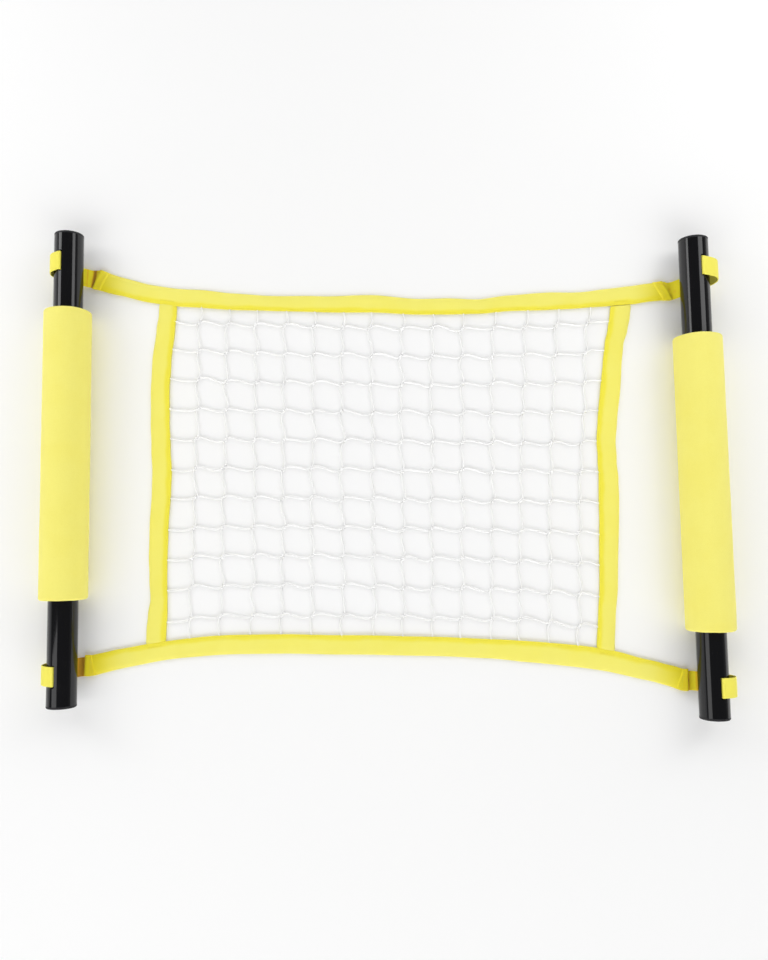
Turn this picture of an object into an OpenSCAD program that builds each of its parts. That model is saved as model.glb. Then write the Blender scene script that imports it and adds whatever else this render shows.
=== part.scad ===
// Toss net for two players: a square-mesh net bound with webbing and held between two hand poles.
// The net lies flat on the ground with its fold along Y. The poles lie along Y, left at -X and right at +X.
// The origin is on the ground in the middle of the whole object, in millimetres.

/* [Poles] */
// Length of each hand pole with its end caps
pole_len = 497; // [440:1:600]
// Outer diameter of the pole tube
pole_d = 30; // [27:0.5:34]
// Wall of the pole tube
pole_wall = 1.6; // [1.2:0.1:2]
// Distance between the axes of the two poles
pole_spacing = 664; // [640:1:760]
// How far up the left pole lies from the right one
pole_stagger = 19; // [0:1:30]

/* [End caps] */
// Thickness of the cap's flange beyond the tube
cap_flange = 2.5; // [2:0.25:5]
// Rounding of the flange's outer edge
cap_edge = 1.2; // [0.4:0.1:1.8]
// Length of the plug inside the tube
cap_plug_len = 12; // [8:1:18]
// Wall of the hollow plug
cap_plug_wall = 1.8; // [1.2:0.1:3]
// Gap between the plug's body and the tube's bore
cap_plug_gap = 0.4; // [0.2:0.05:0.8]
// Width of each gripping rib round the plug
cap_rib_w = 1; // [0.6:0.1:1.6]
// Gripping ribs round the plug
cap_ribs = 3; // [1:1:4]

/* [Grips] */
// Length of the foam sleeve
grip_len = 304; // [240:1:330]
// Outer diameter of the foam sleeve
grip_d = 50; // [44:0.5:60]
// Rounding of the sleeve's outer ends
grip_edge = 2.5; // [1:0.5:5]
// Running gap between sleeve and tube
grip_gap = 0.3; // [0.2:0.05:0.6]
// Place of the left sleeve's middle along its pole
left_grip_at = 12.5; // [-15:0.5:15]
// Place of the right sleeve's middle along its pole
right_grip_at = -8.5; // [-15:0.5:15]

/* [Straps] */
// Width of the strap webbing
strap_w = 20; // [16:0.5:22]
// Thickness of the strap webbing
strap_t = 1.2; // [0.8:0.1:1.4]
// Distance from the pole's end to the middle of the strap's slot
strap_inset = 32.5; // [30:0.5:45]
// Angle of the slot above the pole's outermost line
slot_angle = 76; // [60:1:85]
// Width of the slot
slot_w = 3.2; // [2.6:0.1:4]
// Room at each end of the slot beside the webbing
slot_room = 1.5; // [0.5:0.25:2]
// Gap between the strap and the pole it goes round
strap_gap = 0.3; // [0.25:0.05:0.5]
// How far the upper left strap stands off at the pole's outer side
left_upper_bulge = 2.5; // [0:0.5:7.5]
// How far the lower left strap stands off at the pole's outer side
left_lower_bulge = 3.5; // [0:0.5:7.5]
// How far the upper right strap stands off at the pole's outer side
right_upper_bulge = 7; // [0:0.5:7.5]
// How far the lower right strap stands off at the pole's outer side
right_lower_bulge = 5.5; // [0:0.5:7.5]
// Diameter of the stop rod in the strap's sewn end
stop_d = 5; // [4.4:0.1:5.5]
// How far the stop rod reaches past each edge of the webbing
stop_past = 2; // [1:0.5:4]
// Reach from the pole's axis to the end of the tape
strap_reach = 23; // [21:0.5:30]
// Length of strap sewn flat on the tape's end
strap_lap = 12; // [8:0.5:20]
// How far the upper left strap drifts inwards from slot to tape
left_upper_drift = 9; // [0:0.5:18]
// How far the lower left strap drifts inwards from slot to tape
left_lower_drift = 4.5; // [0:0.5:18]
// How far the upper right strap drifts inwards from slot to tape
right_upper_drift = 16; // [0:0.5:18]
// How far the lower right strap drifts inwards from slot to tape
right_lower_drift = 2; // [0:0.5:18]

/* [Tapes] */
// Width of the folded binding tape
tape_w = 20; // [18:0.5:26]
// Thickness of each leaf of the folded tape
tape_leaf = 0.7; // [0.5:0.1:1.2]
// Depth of the pocket between the leaves
pocket_depth = 14; // [12:0.5:16]
// Room above and below the net in the pocket
pocket_room = 0.1; // [0.05:0.05:0.3]
// Depth of the top tape's inward bow
top_bow = 22; // [0:1:35]
// Depth of the bottom tape's inward bow
bottom_bow = 29; // [0:1:35]
// How square the bow is towards the upper left corner
left_upper_power = 5; // [2:0.5:6]
// How square the bow is towards the lower left corner
left_lower_power = 3.5; // [2:0.5:6]
// How square the bow is towards the upper right corner
right_upper_power = 2; // [2:0.5:6]
// How square the bow is towards the lower right corner
right_lower_power = 4; // [2:0.5:6]
// Distance from the fold to the left side tape, at its top
left_side_top = 232; // [215:1:260]
// Distance from the fold to the left side tape, at its bottom
left_side_bottom = 243; // [215:1:260]
// Distance from the fold to the right side tape, at its top
right_side_top = 258; // [215:1:262]
// Distance from the fold to the right side tape, at its bottom
right_side_bottom = 229; // [215:1:260]
// Inward bow of the left side tape
left_side_bow = -1; // [-3:1:10]
// Inward bow of the right side tape
right_side_bow = 5; // [-3:1:10]
// Gap where a side tape meets the top and bottom tapes
seam_gap = 0.3; // [0.2:0.05:0.5]
// Gap between the two halves at the fold
fold_gap = 0.2; // [0.1:0.05:0.5]

/* [Net] */
// Thickness of the net's cord
cord_d = 1.8; // [1.2:0.1:2.4]
// Width of a knot
knot_d = 3.8; // [3:0.1:5]
// Distance between two upright cords
mesh_pitch = 31.8; // [28:0.1:42]
// Distance between two level cords
row_pitch = 31; // [28:0.1:42]
// Sideways sway of an upright cord between two knots
cord_sway = 0.9; // [0:0.1:2]
// Upward sag of a level cord between two knots
cord_sag = 0.7; // [0:0.1:2]
// Place of the fold's column of gaps from the fold
column_shift = 4.75; // [-6:0.25:6]
// Height of the lowest row of gaps
first_row = 20; // [12:1:28]
// How far the net's selvedge reaches into the tape's pocket
selvedge_in = 10; // [8:0.5:11]
// Width of the net's selvedge
selvedge_w = 7; // [4:0.5:7]

/* [Hidden] */

// Directions: a side is left or right of the fold, an edge is the top or the bottom of the net
left = -1;
right = 1;
top = 1;
bottom = -1;

round_fn = 96;
small_fn = 36;
cut_past = 1;

pole_r = pole_d / 2;
bore_r = pole_r - pole_wall;
pole_z = grip_d / 2;
strap_station = pole_len / 2 - strap_inset;

tape_h = 2 * tape_leaf + cord_d + 2 * pocket_room;
half_span = pole_spacing / 2 - strap_reach;
tape_steps = 14;
side_steps = 6;
slope_step = 0.5;

// Strap route round the pole, as angles above the pole's outermost line
strap_mid_r = pole_r + strap_gap + strap_t / 2;
bulge_span = 108;
bend_start = 6;
wrap_end = -97;
wrap_step = 8;
wrap_drift_share = 0.7;
loop_fit = 0.1;
loop_mid_r = stop_d / 2 + loop_fit + strap_t / 2;
loop_turn = 300;
loop_step = 30;
loop_reach = bore_r - strap_gap - loop_mid_r - strap_t / 2;
stop_r = sqrt(loop_reach * loop_reach - loop_mid_r * loop_mid_r);
root_past = 3;
root_level = 5;
root_steps = 6;
lap_gap = 0.05;

edge_min = 8;
knots_in_fold_column = 0.5;

function lerp(a, b, t) = a + (b - a) * t;

// Corner by corner values
function corner(side, edge, lu, ll, ru, rl) = side == left ? (edge == top ? lu : ll) : (edge == top ? ru : rl);
function drift(side, edge) =
    corner(side, edge, left_upper_drift, left_lower_drift, right_upper_drift, right_lower_drift);
function bulge(side, edge) =
    corner(side, edge, left_upper_bulge, left_lower_bulge, right_upper_bulge, right_lower_bulge);
function bow_power(side, edge) =
    corner(side, edge, left_upper_power, left_lower_power, right_upper_power, right_lower_power);

// Height of a pole's middle, of a strap's slot and of a tape's end
function pole_y(side) = -side * pole_stagger / 2;
function slot_y(side, edge) = pole_y(side) + edge * strap_station;
function tape_end_y(side, edge) = slot_y(side, edge) - edge * drift(side, edge);

// Centre line of the top or bottom tape: a chord between its ends that bows in towards the net
function chord_y(edge, x) =
    lerp(tape_end_y(left, edge), tape_end_y(right, edge), (x + half_span) / (2 * half_span));
function bow(edge, x) =
    (edge == top ? top_bow : bottom_bow)
    * (1 - pow(min(abs(x) / half_span, 1), bow_power(x < 0 ? left : right, edge)));
function tape_y(edge, x) = chord_y(edge, x) - edge * bow(edge, x);
function tape_slope(edge, x) = (tape_y(edge, x + slope_step) - tape_y(edge, x - slope_step)) / (2 * slope_step);
function tape_half(edge, x) = tape_w / 2 * sqrt(1 + pow(tape_slope(edge, x), 2));
// A line along the tape, out_by beyond its inner edge
function tape_line(edge, x, out_by) = tape_y(edge, x) - edge * (tape_half(edge, x) - out_by);

// Distance from the fold to the middle of a side tape, and to a line out_by beyond its inner edge
function side_top(side) = side == left ? left_side_top : right_side_top;
function side_bottom(side) = side == left ? left_side_bottom : right_side_bottom;
function side_bow(side) = side == left ? left_side_bow : right_side_bow;
function side_mid(side, y) =
    lerp(side_bottom(side), side_top(side), (y + strap_station) / (2 * strap_station))
    - side_bow(side) * (1 - pow(y / strap_station, 2));
function side_line(side, y, out_by) = side_mid(side, y) - tape_w / 2 + out_by;

// Knots of one half, counted outwards from the fold and upwards; the last column and row lie in the tapes
function half_w(side) = side_line(side, 0, 0);
function first_cord(side) = mesh_pitch * knots_in_fold_column + side * column_shift;
function columns(side) = floor((half_w(side) - edge_min - first_cord(side)) / mesh_pitch) + 1;
net_low = tape_line(bottom, 0, 0);
net_high = tape_line(top, 0, 0);
rows = floor((net_high - net_low - first_row - edge_min) / row_pitch) + 1;
gap_in = selvedge_in - selvedge_w;

function cord_x(side, a, y) = a == columns(side)
    ? side_line(side, y, gap_in)
    : side_line(side, y, 0) * (first_cord(side) + a * mesh_pitch) / half_w(side);
function row_share(b) = (first_row + (b - 1) * row_pitch) / (net_high - net_low);
function cord_y(side, b, x) = b == 0 ? tape_line(bottom, side * x, gap_in)
    : b > rows ? tape_line(top, side * x, gap_in)
    : lerp(tape_line(bottom, side * x, 0), tape_line(top, side * x, 0), row_share(b));
function knot_at(side, a, b) =
    let (y = cord_y(side, b, cord_x(side, a, 0)))
    let (x = cord_x(side, a, y))
    [x, cord_y(side, b, x)];
function is_cord(side, a, b) = a < columns(side) && b > 0 && b <= rows;
function inset(side, a, b) = is_cord(side, a, b) ? knot_d / 2 : cord_d / 2;
function inset_x(side, a, b) = a == columns(side) ? 0 : inset(side, a, b);
function inset_y(side, a, b) = b == 0 || b > rows ? 0 : inset(side, a, b);

// Edges of the gaps: a corner beside a knot, the swaying upright cord and the sagging level cord
function gap_corner(side, a, b, dx, dy) =
    knot_at(side, a, b) + [dx * inset_x(side, a, b), dy * inset_y(side, a, b)];
function upright(side, a, b, share, dx) =
    let (p = lerp(knot_at(side, a, b), knot_at(side, a, b + 1), share))
    let (sway = a == columns(side) ? 0 : dx * cord_d / 2 + side * cord_sway * sin(360 * share))
    [p[0] + sway, p[1]];
function level(side, a, b, dy) =
    let (p = lerp(knot_at(side, a, b), knot_at(side, a + 1, b), 0.5))
    let (sag = b == 0 || b > rows ? 0 : dy * cord_d / 2 + cord_sag)
    [p[0], p[1] + sag];
function gap_outline(side, a, b) = [
    gap_corner(side, a, b, 1, 1),
    level(side, a, b, 1),
    gap_corner(side, a + 1, b, -1, 1),
    upright(side, a + 1, b, 0.25, -1),
    upright(side, a + 1, b, 0.75, -1),
    gap_corner(side, a + 1, b + 1, -1, -1),
    level(side, a, b + 1, -1),
    gap_corner(side, a, b + 1, 1, -1),
    upright(side, a, b, 0.75, 1),
    upright(side, a, b, 0.25, 1)];
gap_points = 10;

// The half gap that the fold cuts through, from its upper end to its lower end
function fold_notch(side, b) = let (x = fold_gap / 2) [
    [x, cord_y(side, b + 1, x) - (b == rows ? 0 : cord_d / 2)],
    gap_corner(side, 0, b + 1, -1, -1),
    upright(side, 0, b, 0.75, -1),
    upright(side, 0, b, 0.25, -1),
    gap_corner(side, 0, b, -1, 1),
    [x, cord_y(side, b, x) + (b == 0 ? 0 : cord_d / 2)]];

// Outline of one half of the net, with its selvedge inside the tapes' pockets
function selvedge_x(side, y) = side_line(side, y, selvedge_in);
function selvedge_y(side, edge, x) = tape_line(edge, side * x, selvedge_in);
function selvedge_corner(side, edge) =
    let (y = selvedge_y(side, edge, half_w(side)))
    let (x = selvedge_x(side, y))
    [x, selvedge_y(side, edge, x)];
function net_outline(side) = let (
    x = fold_gap / 2,
    low = selvedge_corner(side, bottom),
    high = selvedge_corner(side, top)
) concat(
    [for (i = [0:tape_steps - 1])
        let (px = lerp(x, low[0], i / tape_steps)) [px, selvedge_y(side, bottom, px)]],
    [for (i = [0:side_steps - 1])
        let (py = lerp(low[1], high[1], i / side_steps)) [selvedge_x(side, py), py]],
    [for (i = [0:tape_steps])
        let (px = lerp(high[0], x, i / tape_steps)) [px, selvedge_y(side, top, px)]],
    [for (b = [rows:-1:0]) each fold_notch(side, b)]);

// A strap's route round its pole, seen along the pole: out is -X, up is +Z, the pole's axis is the origin
function polar(r, angle) = [-r * cos(angle), r * sin(angle)];
function wrap_r(side, edge, angle) =
    let (along = slot_angle - angle)
    strap_mid_r + (along < bulge_span ? bulge(side, edge) * pow(sin(180 * along / bulge_span), 2) : 0);
function slot_out() = polar(1, slot_angle);
function slot_up() = polar(1, slot_angle + 90);
function loop_point(angle) = let (centre = stop_centre())
    centre + loop_mid_r * (-slot_up() * cos(angle) - slot_out() * sin(angle));
function stop_centre() = stop_r * slot_out() + loop_mid_r * slot_up();
wrap_count = floor((slot_angle - bend_start - wrap_end) / wrap_step);
inner_route = concat(
    [for (angle = [loop_turn:-loop_step:0]) loop_point(angle)],
    [polar(bore_r, slot_angle), polar(pole_r, slot_angle)],
    [polar(pole_r + strap_t / 2, slot_angle - 0.5), polar(strap_mid_r + strap_t / 8, slot_angle - 2.7)]);
function wrap_route(side, edge) = concat(inner_route, [for (i = [0:wrap_count])
    let (angle = lerp(slot_angle - bend_start, wrap_end, i / wrap_count)) polar(wrap_r(side, edge, angle), angle)]);
function wrap_drift(side, edge) = concat([for (point = inner_route) 0], [for (i = [0:wrap_count])
    -drift(side, edge) * wrap_drift_share * i / wrap_count]);

// The strap's root runs from under the pole down to the tape and flat along it
root_high = -(pole_r + 2 * strap_gap + 1.5 * strap_t);
root_low = -pole_z + tape_h + strap_t / 2 + lap_gap;
function root_z(x) =
    let (t = (x - root_level) / (strap_reach - root_level))
    let (s = min(max(t, 0), 1))
    lerp(root_high, root_low, s * s * (3 - 2 * s));
function root_drift(side, edge, x) = x < strap_reach
    ? -drift(side, edge) * lerp(wrap_drift_share, 1, (x + root_past) / (strap_reach + root_past))
    : edge * (tape_y(edge, side * (pole_spacing / 2 - x)) - slot_y(side, edge));
root_x = concat([-root_past],
    [for (i = [0:root_steps]) lerp(root_level, strap_reach, i / root_steps)],
    [strap_reach + strap_lap / 2, strap_reach + strap_lap]);
root_route = [for (x = root_x) [x, root_z(x)]];
function root_drifts(side, edge) = [for (x = root_x) root_drift(side, edge, x)];

// Unit vector square to a route at its point i
function unit(v) = v / norm(v);
function square_to(route, i) =
    let (before = route[max(i - 1, 0)], after = route[min(i + 1, len(route) - 1)])
    let (along = unit(after - before))
    [-along[1], along[0]];

// A flat ribbon that follows a route in the XZ plane, its middle moved along Y by shifts
module ribbon(route, shifts, width, thickness) {
    n = len(route);
    corners = [for (i = [0:n - 1])
        let (off = square_to(route, i) * thickness / 2, inner = route[i] - off, outer = route[i] + off)
        each [
            [inner[0], shifts[i] - width / 2, inner[1]],
            [outer[0], shifts[i] - width / 2, outer[1]],
            [outer[0], shifts[i] + width / 2, outer[1]],
            [inner[0], shifts[i] + width / 2, inner[1]]]];
    walls = [for (i = [0:n - 2], k = [0:3])
        let (a = 4 * i + k, b = 4 * i + (k + 1) % 4)
        each [[a, a + 4, b], [b, a + 4, b + 4]]];
    last = 4 * (n - 1);
    ends = [[0, 1, 2], [0, 2, 3], [last + 2, last + 1, last], [last + 3, last + 2, last]];
    polyhedron(corners, concat(walls, ends));
}

module tube_along_y(d, h) {
    rotate([90, 0, 0])
        cylinder(d = d, h = h, center = true, $fn = round_fn);
}

// Puts a piece drawn for the left pole on either pole
module on_pole(side) {
    translate([side * pole_spacing / 2, pole_y(side), pole_z])
        mirror([side == right ? 1 : 0, 0, 0])
            children();
}

// Puts a piece drawn for the upper left slot at any of the four slots
module at_slot(side, edge) {
    on_pole(side)
        mirror([0, edge == bottom ? 1 : 0, 0])
            translate([0, strap_station, 0])
                children();
}

module slot_cutter() {
    slot_len = strap_w + 2 * slot_room;
    depth = pole_wall + 2 * cut_past;
    rotate([0, slot_angle - 90, 0])
        translate([0, 0, bore_r + pole_wall / 2]) {
            cube([slot_w, slot_len - slot_w, depth], center = true);
            for (end = [-1, 1])
                translate([0, end * (slot_len - slot_w) / 2, 0])
                    cylinder(d = slot_w, h = depth, center = true, $fn = small_fn);
        }
}

module pole_tube(side) {
    tube_len = pole_len - 2 * cap_flange;
    color("#151517")
        on_pole(side)
            difference() {
                tube_along_y(pole_d, tube_len);
                tube_along_y(2 * bore_r, tube_len + 2 * cut_past);
                for (edge = [bottom, top])
                    translate([0, edge * strap_station, 0])
                        slot_cutter();
            }
}

// Half outline of a cap, turned about its axis: a flange with a round edge, then a ribbed hollow plug
module cap_profile() {
    plug_r = bore_r - cap_plug_gap;
    rib_r = bore_r - 0.05;
    rib_step = cap_plug_len / (cap_ribs + 1);
    arc = [for (a = [0:15:90])
        [pole_r - cap_edge + cap_edge * cos(a), -cap_flange + cap_edge - cap_edge * sin(a)]];
    ribs = [for (i = [cap_ribs:-1:1])
        let (z = i * rib_step)
        each [[plug_r, z + cap_rib_w / 2], [rib_r, z + cap_rib_w / 2],
            [rib_r, z - cap_rib_w / 2], [plug_r, z - cap_rib_w / 2]]];
    polygon(concat(
        [[0, 0], [plug_r - cap_plug_wall, 0], [plug_r - cap_plug_wall, cap_plug_len], [plug_r, cap_plug_len]],
        ribs, [[plug_r, 0], [pole_r, 0]], arc, [[0, -cap_flange]]));
}

module end_cap(side, edge) {
    color("#1b1b1d")
        on_pole(side)
            mirror([0, edge == bottom ? 1 : 0, 0])
                translate([0, pole_len / 2 - cap_flange, 0])
                    rotate([90, 0, 0])
                        rotate_extrude($fn = round_fn)
                            cap_profile();
}

module grip(side) {
    r = grip_d / 2;
    bore = pole_r + grip_gap;
    arc = [for (a = [0:15:90])
        [r - grip_edge + grip_edge * cos(a), grip_len / 2 - grip_edge + grip_edge * sin(a)]];
    mirrored = [for (i = [len(arc) - 1:-1:0]) [arc[i][0], -arc[i][1]]];
    color("#f4e97c")
        on_pole(side)
            translate([0, side == left ? left_grip_at : right_grip_at, 0])
                rotate([-90, 0, 0])
                    rotate_extrude($fn = round_fn)
                        polygon(concat(arc, [[bore, grip_len / 2], [bore, -grip_len / 2]], mirrored));
}

module strap(side, edge) {
    color("#f7ef3a")
        at_slot(side, edge)
            ribbon(wrap_route(side, edge), wrap_drift(side, edge), strap_w, strap_t);
}

module strap_stop(side, edge) {
    centre = stop_centre();
    color("#e8e8e4")
        at_slot(side, edge)
            translate([centre[0], 0, centre[1]])
                tube_along_y(stop_d, strap_w + 2 * stop_past);
}

module strap_root(side, edge) {
    color("#f0e52e")
        at_slot(side, edge)
            ribbon(root_route, root_drifts(side, edge), strap_w, strap_t);
}

// Flat band along the top or bottom tape, from one line beside its inner edge to another
module tape_band(edge, from_x, to_x, low, high) {
    steps = [for (i = [0:tape_steps]) lerp(from_x, to_x, i / tape_steps)];
    back = [for (i = [tape_steps:-1:0]) steps[i]];
    polygon(concat(
        [for (x = steps) [x, tape_line(edge, x, low)]],
        [for (x = back) [x, tape_y(edge, x) + edge * tape_half(edge, x) * high]]));
}

module pocket(depth_z) {
    translate([0, 0, tape_leaf])
        linear_extrude(depth_z)
            children();
}

module edge_tape(side, edge) {
    color("#f7ef3a")
        difference() {
            linear_extrude(tape_h)
                tape_band(edge, side * half_span, side * fold_gap / 2, 0, 1);
            pocket(cord_d + 2 * pocket_room)
                edge_pocket(side, edge);
        }
}

// The pocket of the top or bottom tape, open to the net and through the fold
module edge_pocket(side, edge) {
    outer = side * (side_line(side, edge * strap_station, tape_w));
    steps = [for (i = [0:tape_steps]) lerp(outer, -side * cut_past, i / tape_steps)];
    back = [for (i = [tape_steps:-1:0]) steps[i]];
    polygon(concat(
        [for (x = steps) [x, tape_line(edge, x, -cut_past)]],
        [for (x = back) [x, tape_line(edge, x, pocket_depth)]]));
}

// Line beside a side tape's inner edge, from the middle of the bottom tape to the middle of the top tape
function side_points(side, out_by) =
    let (x = side * side_line(side, 0, out_by))
    let (low = tape_y(bottom, x), high = tape_y(top, x))
    [for (i = [0:side_steps])
        let (y = lerp(low, high, i / side_steps)) [side * side_line(side, y, out_by), y]];
function reversed(list) = [for (i = [len(list) - 1:-1:0]) list[i]];

module side_band(side, low, high) {
    polygon(concat(side_points(side, low), reversed(side_points(side, high))));
}

// A side tape ends just short of the top and bottom tapes
module side_tape(side) {
    color("#f5ec38")
        difference() {
            linear_extrude(tape_h)
                side_band(side, 0, tape_w);
            pocket(cord_d + 2 * pocket_room)
                side_band(side, -cut_past, pocket_depth);
            for (edge = [bottom, top])
                translate([0, 0, -cut_past])
                    linear_extrude(tape_h + 2 * cut_past)
                        tape_band(edge, side * half_span, side * fold_gap / 2, -seam_gap, 1);
        }
}

// One half of the net: its outline first, then every gap as a hole
module net_half(side) {
    outline = net_outline(side);
    gaps = [for (a = [0:columns(side) - 1], b = [0:rows]) gap_outline(side, a, b)];
    points = concat(outline, [for (gap = gaps) each gap]);
    paths = concat(
        [[for (i = [0:len(outline) - 1]) i]],
        [for (g = [0:len(gaps) - 1]) [for (k = [0:gap_points - 1]) len(outline) + g * gap_points + k]]);
    color("#f2f1ea")
        translate([0, 0, tape_leaf + pocket_room])
            linear_extrude(cord_d)
                mirror([side == left ? 1 : 0, 0])
                    polygon(points, paths);
}

pole_tube(left);  // left_tube
pole_tube(right);  // right_tube
end_cap(left, top);  // left_upper_cap
end_cap(left, bottom);  // left_lower_cap
end_cap(right, top);  // right_upper_cap
end_cap(right, bottom);  // right_lower_cap
grip(left);  // left_grip
grip(right);  // right_grip
strap(left, top);  // left_upper_strap
strap(left, bottom);  // left_lower_strap
strap(right, top);  // right_upper_strap
strap(right, bottom);  // right_lower_strap
strap_stop(left, top);  // left_upper_stop
strap_stop(left, bottom);  // left_lower_stop
strap_stop(right, top);  // right_upper_stop
strap_stop(right, bottom);  // right_lower_stop
strap_root(left, top);  // left_upper_strap_root
strap_root(left, bottom);  // left_lower_strap_root
strap_root(right, top);  // right_upper_strap_root
strap_root(right, bottom);  // right_lower_strap_root
edge_tape(left, top);  // top_tape_left
edge_tape(right, top);  // top_tape_right
edge_tape(left, bottom);  // bottom_tape_left
edge_tape(right, bottom);  // bottom_tape_right
side_tape(left);  // left_side_tape
side_tape(right);  // right_side_tape
net_half(left);  // net_left
net_half(right);  // net_right
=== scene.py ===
"""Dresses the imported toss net: foam grips, woven webbing, the knotted net, threads, light and camera."""

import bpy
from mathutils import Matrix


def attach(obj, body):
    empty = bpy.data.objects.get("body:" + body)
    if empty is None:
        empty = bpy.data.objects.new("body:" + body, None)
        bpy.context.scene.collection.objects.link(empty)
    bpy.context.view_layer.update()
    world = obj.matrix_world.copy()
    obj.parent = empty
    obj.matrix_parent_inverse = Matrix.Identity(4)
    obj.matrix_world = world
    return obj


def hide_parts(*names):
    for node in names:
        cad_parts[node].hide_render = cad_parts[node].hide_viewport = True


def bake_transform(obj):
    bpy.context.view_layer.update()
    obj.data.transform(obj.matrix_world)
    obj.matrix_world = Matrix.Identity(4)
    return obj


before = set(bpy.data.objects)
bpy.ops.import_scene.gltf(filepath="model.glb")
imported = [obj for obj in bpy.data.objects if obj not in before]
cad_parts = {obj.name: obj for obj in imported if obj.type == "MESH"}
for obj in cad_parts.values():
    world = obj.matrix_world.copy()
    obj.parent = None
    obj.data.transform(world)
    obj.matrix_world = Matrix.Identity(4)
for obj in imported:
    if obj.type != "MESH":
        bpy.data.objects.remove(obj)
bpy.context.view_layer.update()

import logging
import math
from dataclasses import dataclass, field
from enum import Enum
from typing import Any, Callable, Sequence

import bmesh
import bpy
import numpy as np
from mathutils import Matrix, Vector, noise

LOG = logging.getLogger("toss_net")
MM = 0.001
UV_NAME = "UVMap"
# Name of the point attribute that holds the depth of painted shade in creases.
CREASE_SHADE_NAME = "crease"
WHITE = (1.0, 1.0, 1.0, 1.0)
STRAY_SEED = 1795523856

Array = np.ndarray
Colour = tuple[float, float, float]
Material = bpy.types.Material
Piece = bpy.types.Object
Socket = bpy.types.NodeSocket
Surface = Callable[[float, float], Array]


class Side(Enum):
    """Half of the object that a piece belongs to; the value is its direction along X."""

    LEFT = -1
    RIGHT = 1

    @property
    def word(self) -> str:
        """The side as it stands in node and body names."""
        return self.name.lower()


class Edge(Enum):
    """Top or bottom edge of the net; the value is its direction along Y."""

    TOP = 1
    BOTTOM = -1

    @property
    def word(self) -> str:
        """The edge as it stands in the names of the tapes."""
        return self.name.lower()

    @property
    def height(self) -> str:
        """The edge as it stands in the names of straps and caps."""
        return "upper" if self is Edge.TOP else "lower"


# ---------------------------------------------------------------- node trees


class Graph:
    """A node tree under construction, with short calls for its nodes and links."""

    def __init__(self, tree: bpy.types.NodeTree) -> None:
        """Keeps the tree that the nodes go into."""
        self.tree = tree

    def feed(self, socket: Socket, value: Any) -> None:
        """Links or sets one input.

        Args:
            socket: The input.
            value: A socket to link from, or the constant that the input takes.
        """
        if isinstance(value, Socket):
            self.tree.links.new(value, socket)
        else:
            socket.default_value = value

    def add(self, kind: str, inputs: dict[Any, Any] | None = None, **settings: Any) -> bpy.types.Node:
        """Adds a node.

        Args:
            kind: Blender's name of the node type.
            inputs: Values or sockets for its inputs, by name or number.
            settings: Properties of the node, set before its inputs.

        Returns:
            The node.
        """
        node = self.tree.nodes.new(kind)
        for name, value in settings.items():
            setattr(node, name, value)
        for key, value in (inputs or {}).items():
            self.feed(node.inputs[key], value)
        return node

    def math(self, operation: str, a: Any, b: Any = 0.0, c: Any = 0.0, clamp: bool = False) -> Socket:
        """The result of a Math node on up to three values, held from 0 to 1 if clamped."""
        return self.add("ShaderNodeMath", {0: a, 1: b, 2: c}, operation=operation, use_clamp=clamp).outputs[0]

    def times(self, a: Any, b: Any) -> Socket:
        """The product of two values."""
        return self.math("MULTIPLY", a, b)

    def line(self, value: Any, slope: Any, start: Any) -> Socket:
        """A value times a slope, added to a start."""
        return self.math("MULTIPLY_ADD", value, slope, start)

    def parts(self, vector: Socket) -> Any:
        """The coordinates of a vector."""
        return self.add("ShaderNodeSeparateXYZ", {0: vector}).outputs

    def mix(self, factor: Any, a: Any, b: Any) -> Socket:
        """A mix of two colours of four numbers; the factor is the second one's share."""
        return self.add("ShaderNodeMix", {0: factor, 6: a, 7: b}, data_type="RGBA").outputs[2]

    def span(self, value: Socket, low: float, high: float, to_low: float = 0.0, to_high: float = 1.0) -> Socket:
        """Maps the range from low to high onto another one, smoothly and clamped."""
        inputs = {0: value, 1: low, 2: high, 3: to_low, 4: to_high}
        return self.add("ShaderNodeMapRange", inputs, interpolation_type="SMOOTHSTEP").outputs[0]

    def noise(self, vector: Socket, scale: Any, detail: float = 2.0, roughness: float = 0.5) -> Socket:
        """Noise from 0 to 1; its scale counts features for each metre and its detail octaves."""
        inputs = {"Vector": vector, "Scale": scale, "Detail": detail, "Roughness": roughness}
        return self.add("ShaderNodeTexNoise", inputs).outputs["Fac"]

    def stretched(self, vector: Socket, scale: Sequence[float]) -> Socket:
        """Texture coordinates scaled along each axis."""
        return self.add("ShaderNodeMapping", {"Vector": vector, "Scale": scale}).outputs[0]


def rgba(colour: Colour, share: float = 1.0) -> tuple[float, float, float, float]:
    """The colour as four numbers, made darker or lighter by a share."""
    return (colour[0] * share, colour[1] * share, colour[2] * share, 1.0)


class NodeGroup(Graph):
    """A node group whose named inputs and outputs are of kinds such as Float or Vector."""

    TREE = "ShaderNodeTree"

    def __init__(self, name: str, inputs: dict[str, str], outputs: dict[str, str]) -> None:
        """Makes the group.

        Args:
            name: The group's name.
            inputs: Kind of each input, by name.
            outputs: Kind of each output, by name.
        """
        super().__init__(bpy.data.node_groups.new(name, self.TREE))
        for way, sockets in (("INPUT", inputs), ("OUTPUT", outputs)):
            for socket, kind in sockets.items():
                self.tree.interface.new_socket(socket, in_out=way, socket_type=f"NodeSocket{kind}")
        self.source = self.tree.nodes.new("NodeGroupInput").outputs
        self.result = self.tree.nodes.new("NodeGroupOutput").inputs

    def use(self, graph: Graph, inputs: dict[str, Any]) -> Any:
        """Places the group in a material and gives its outputs."""
        return graph.add("ShaderNodeGroup", inputs, node_tree=self.tree).outputs


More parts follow.
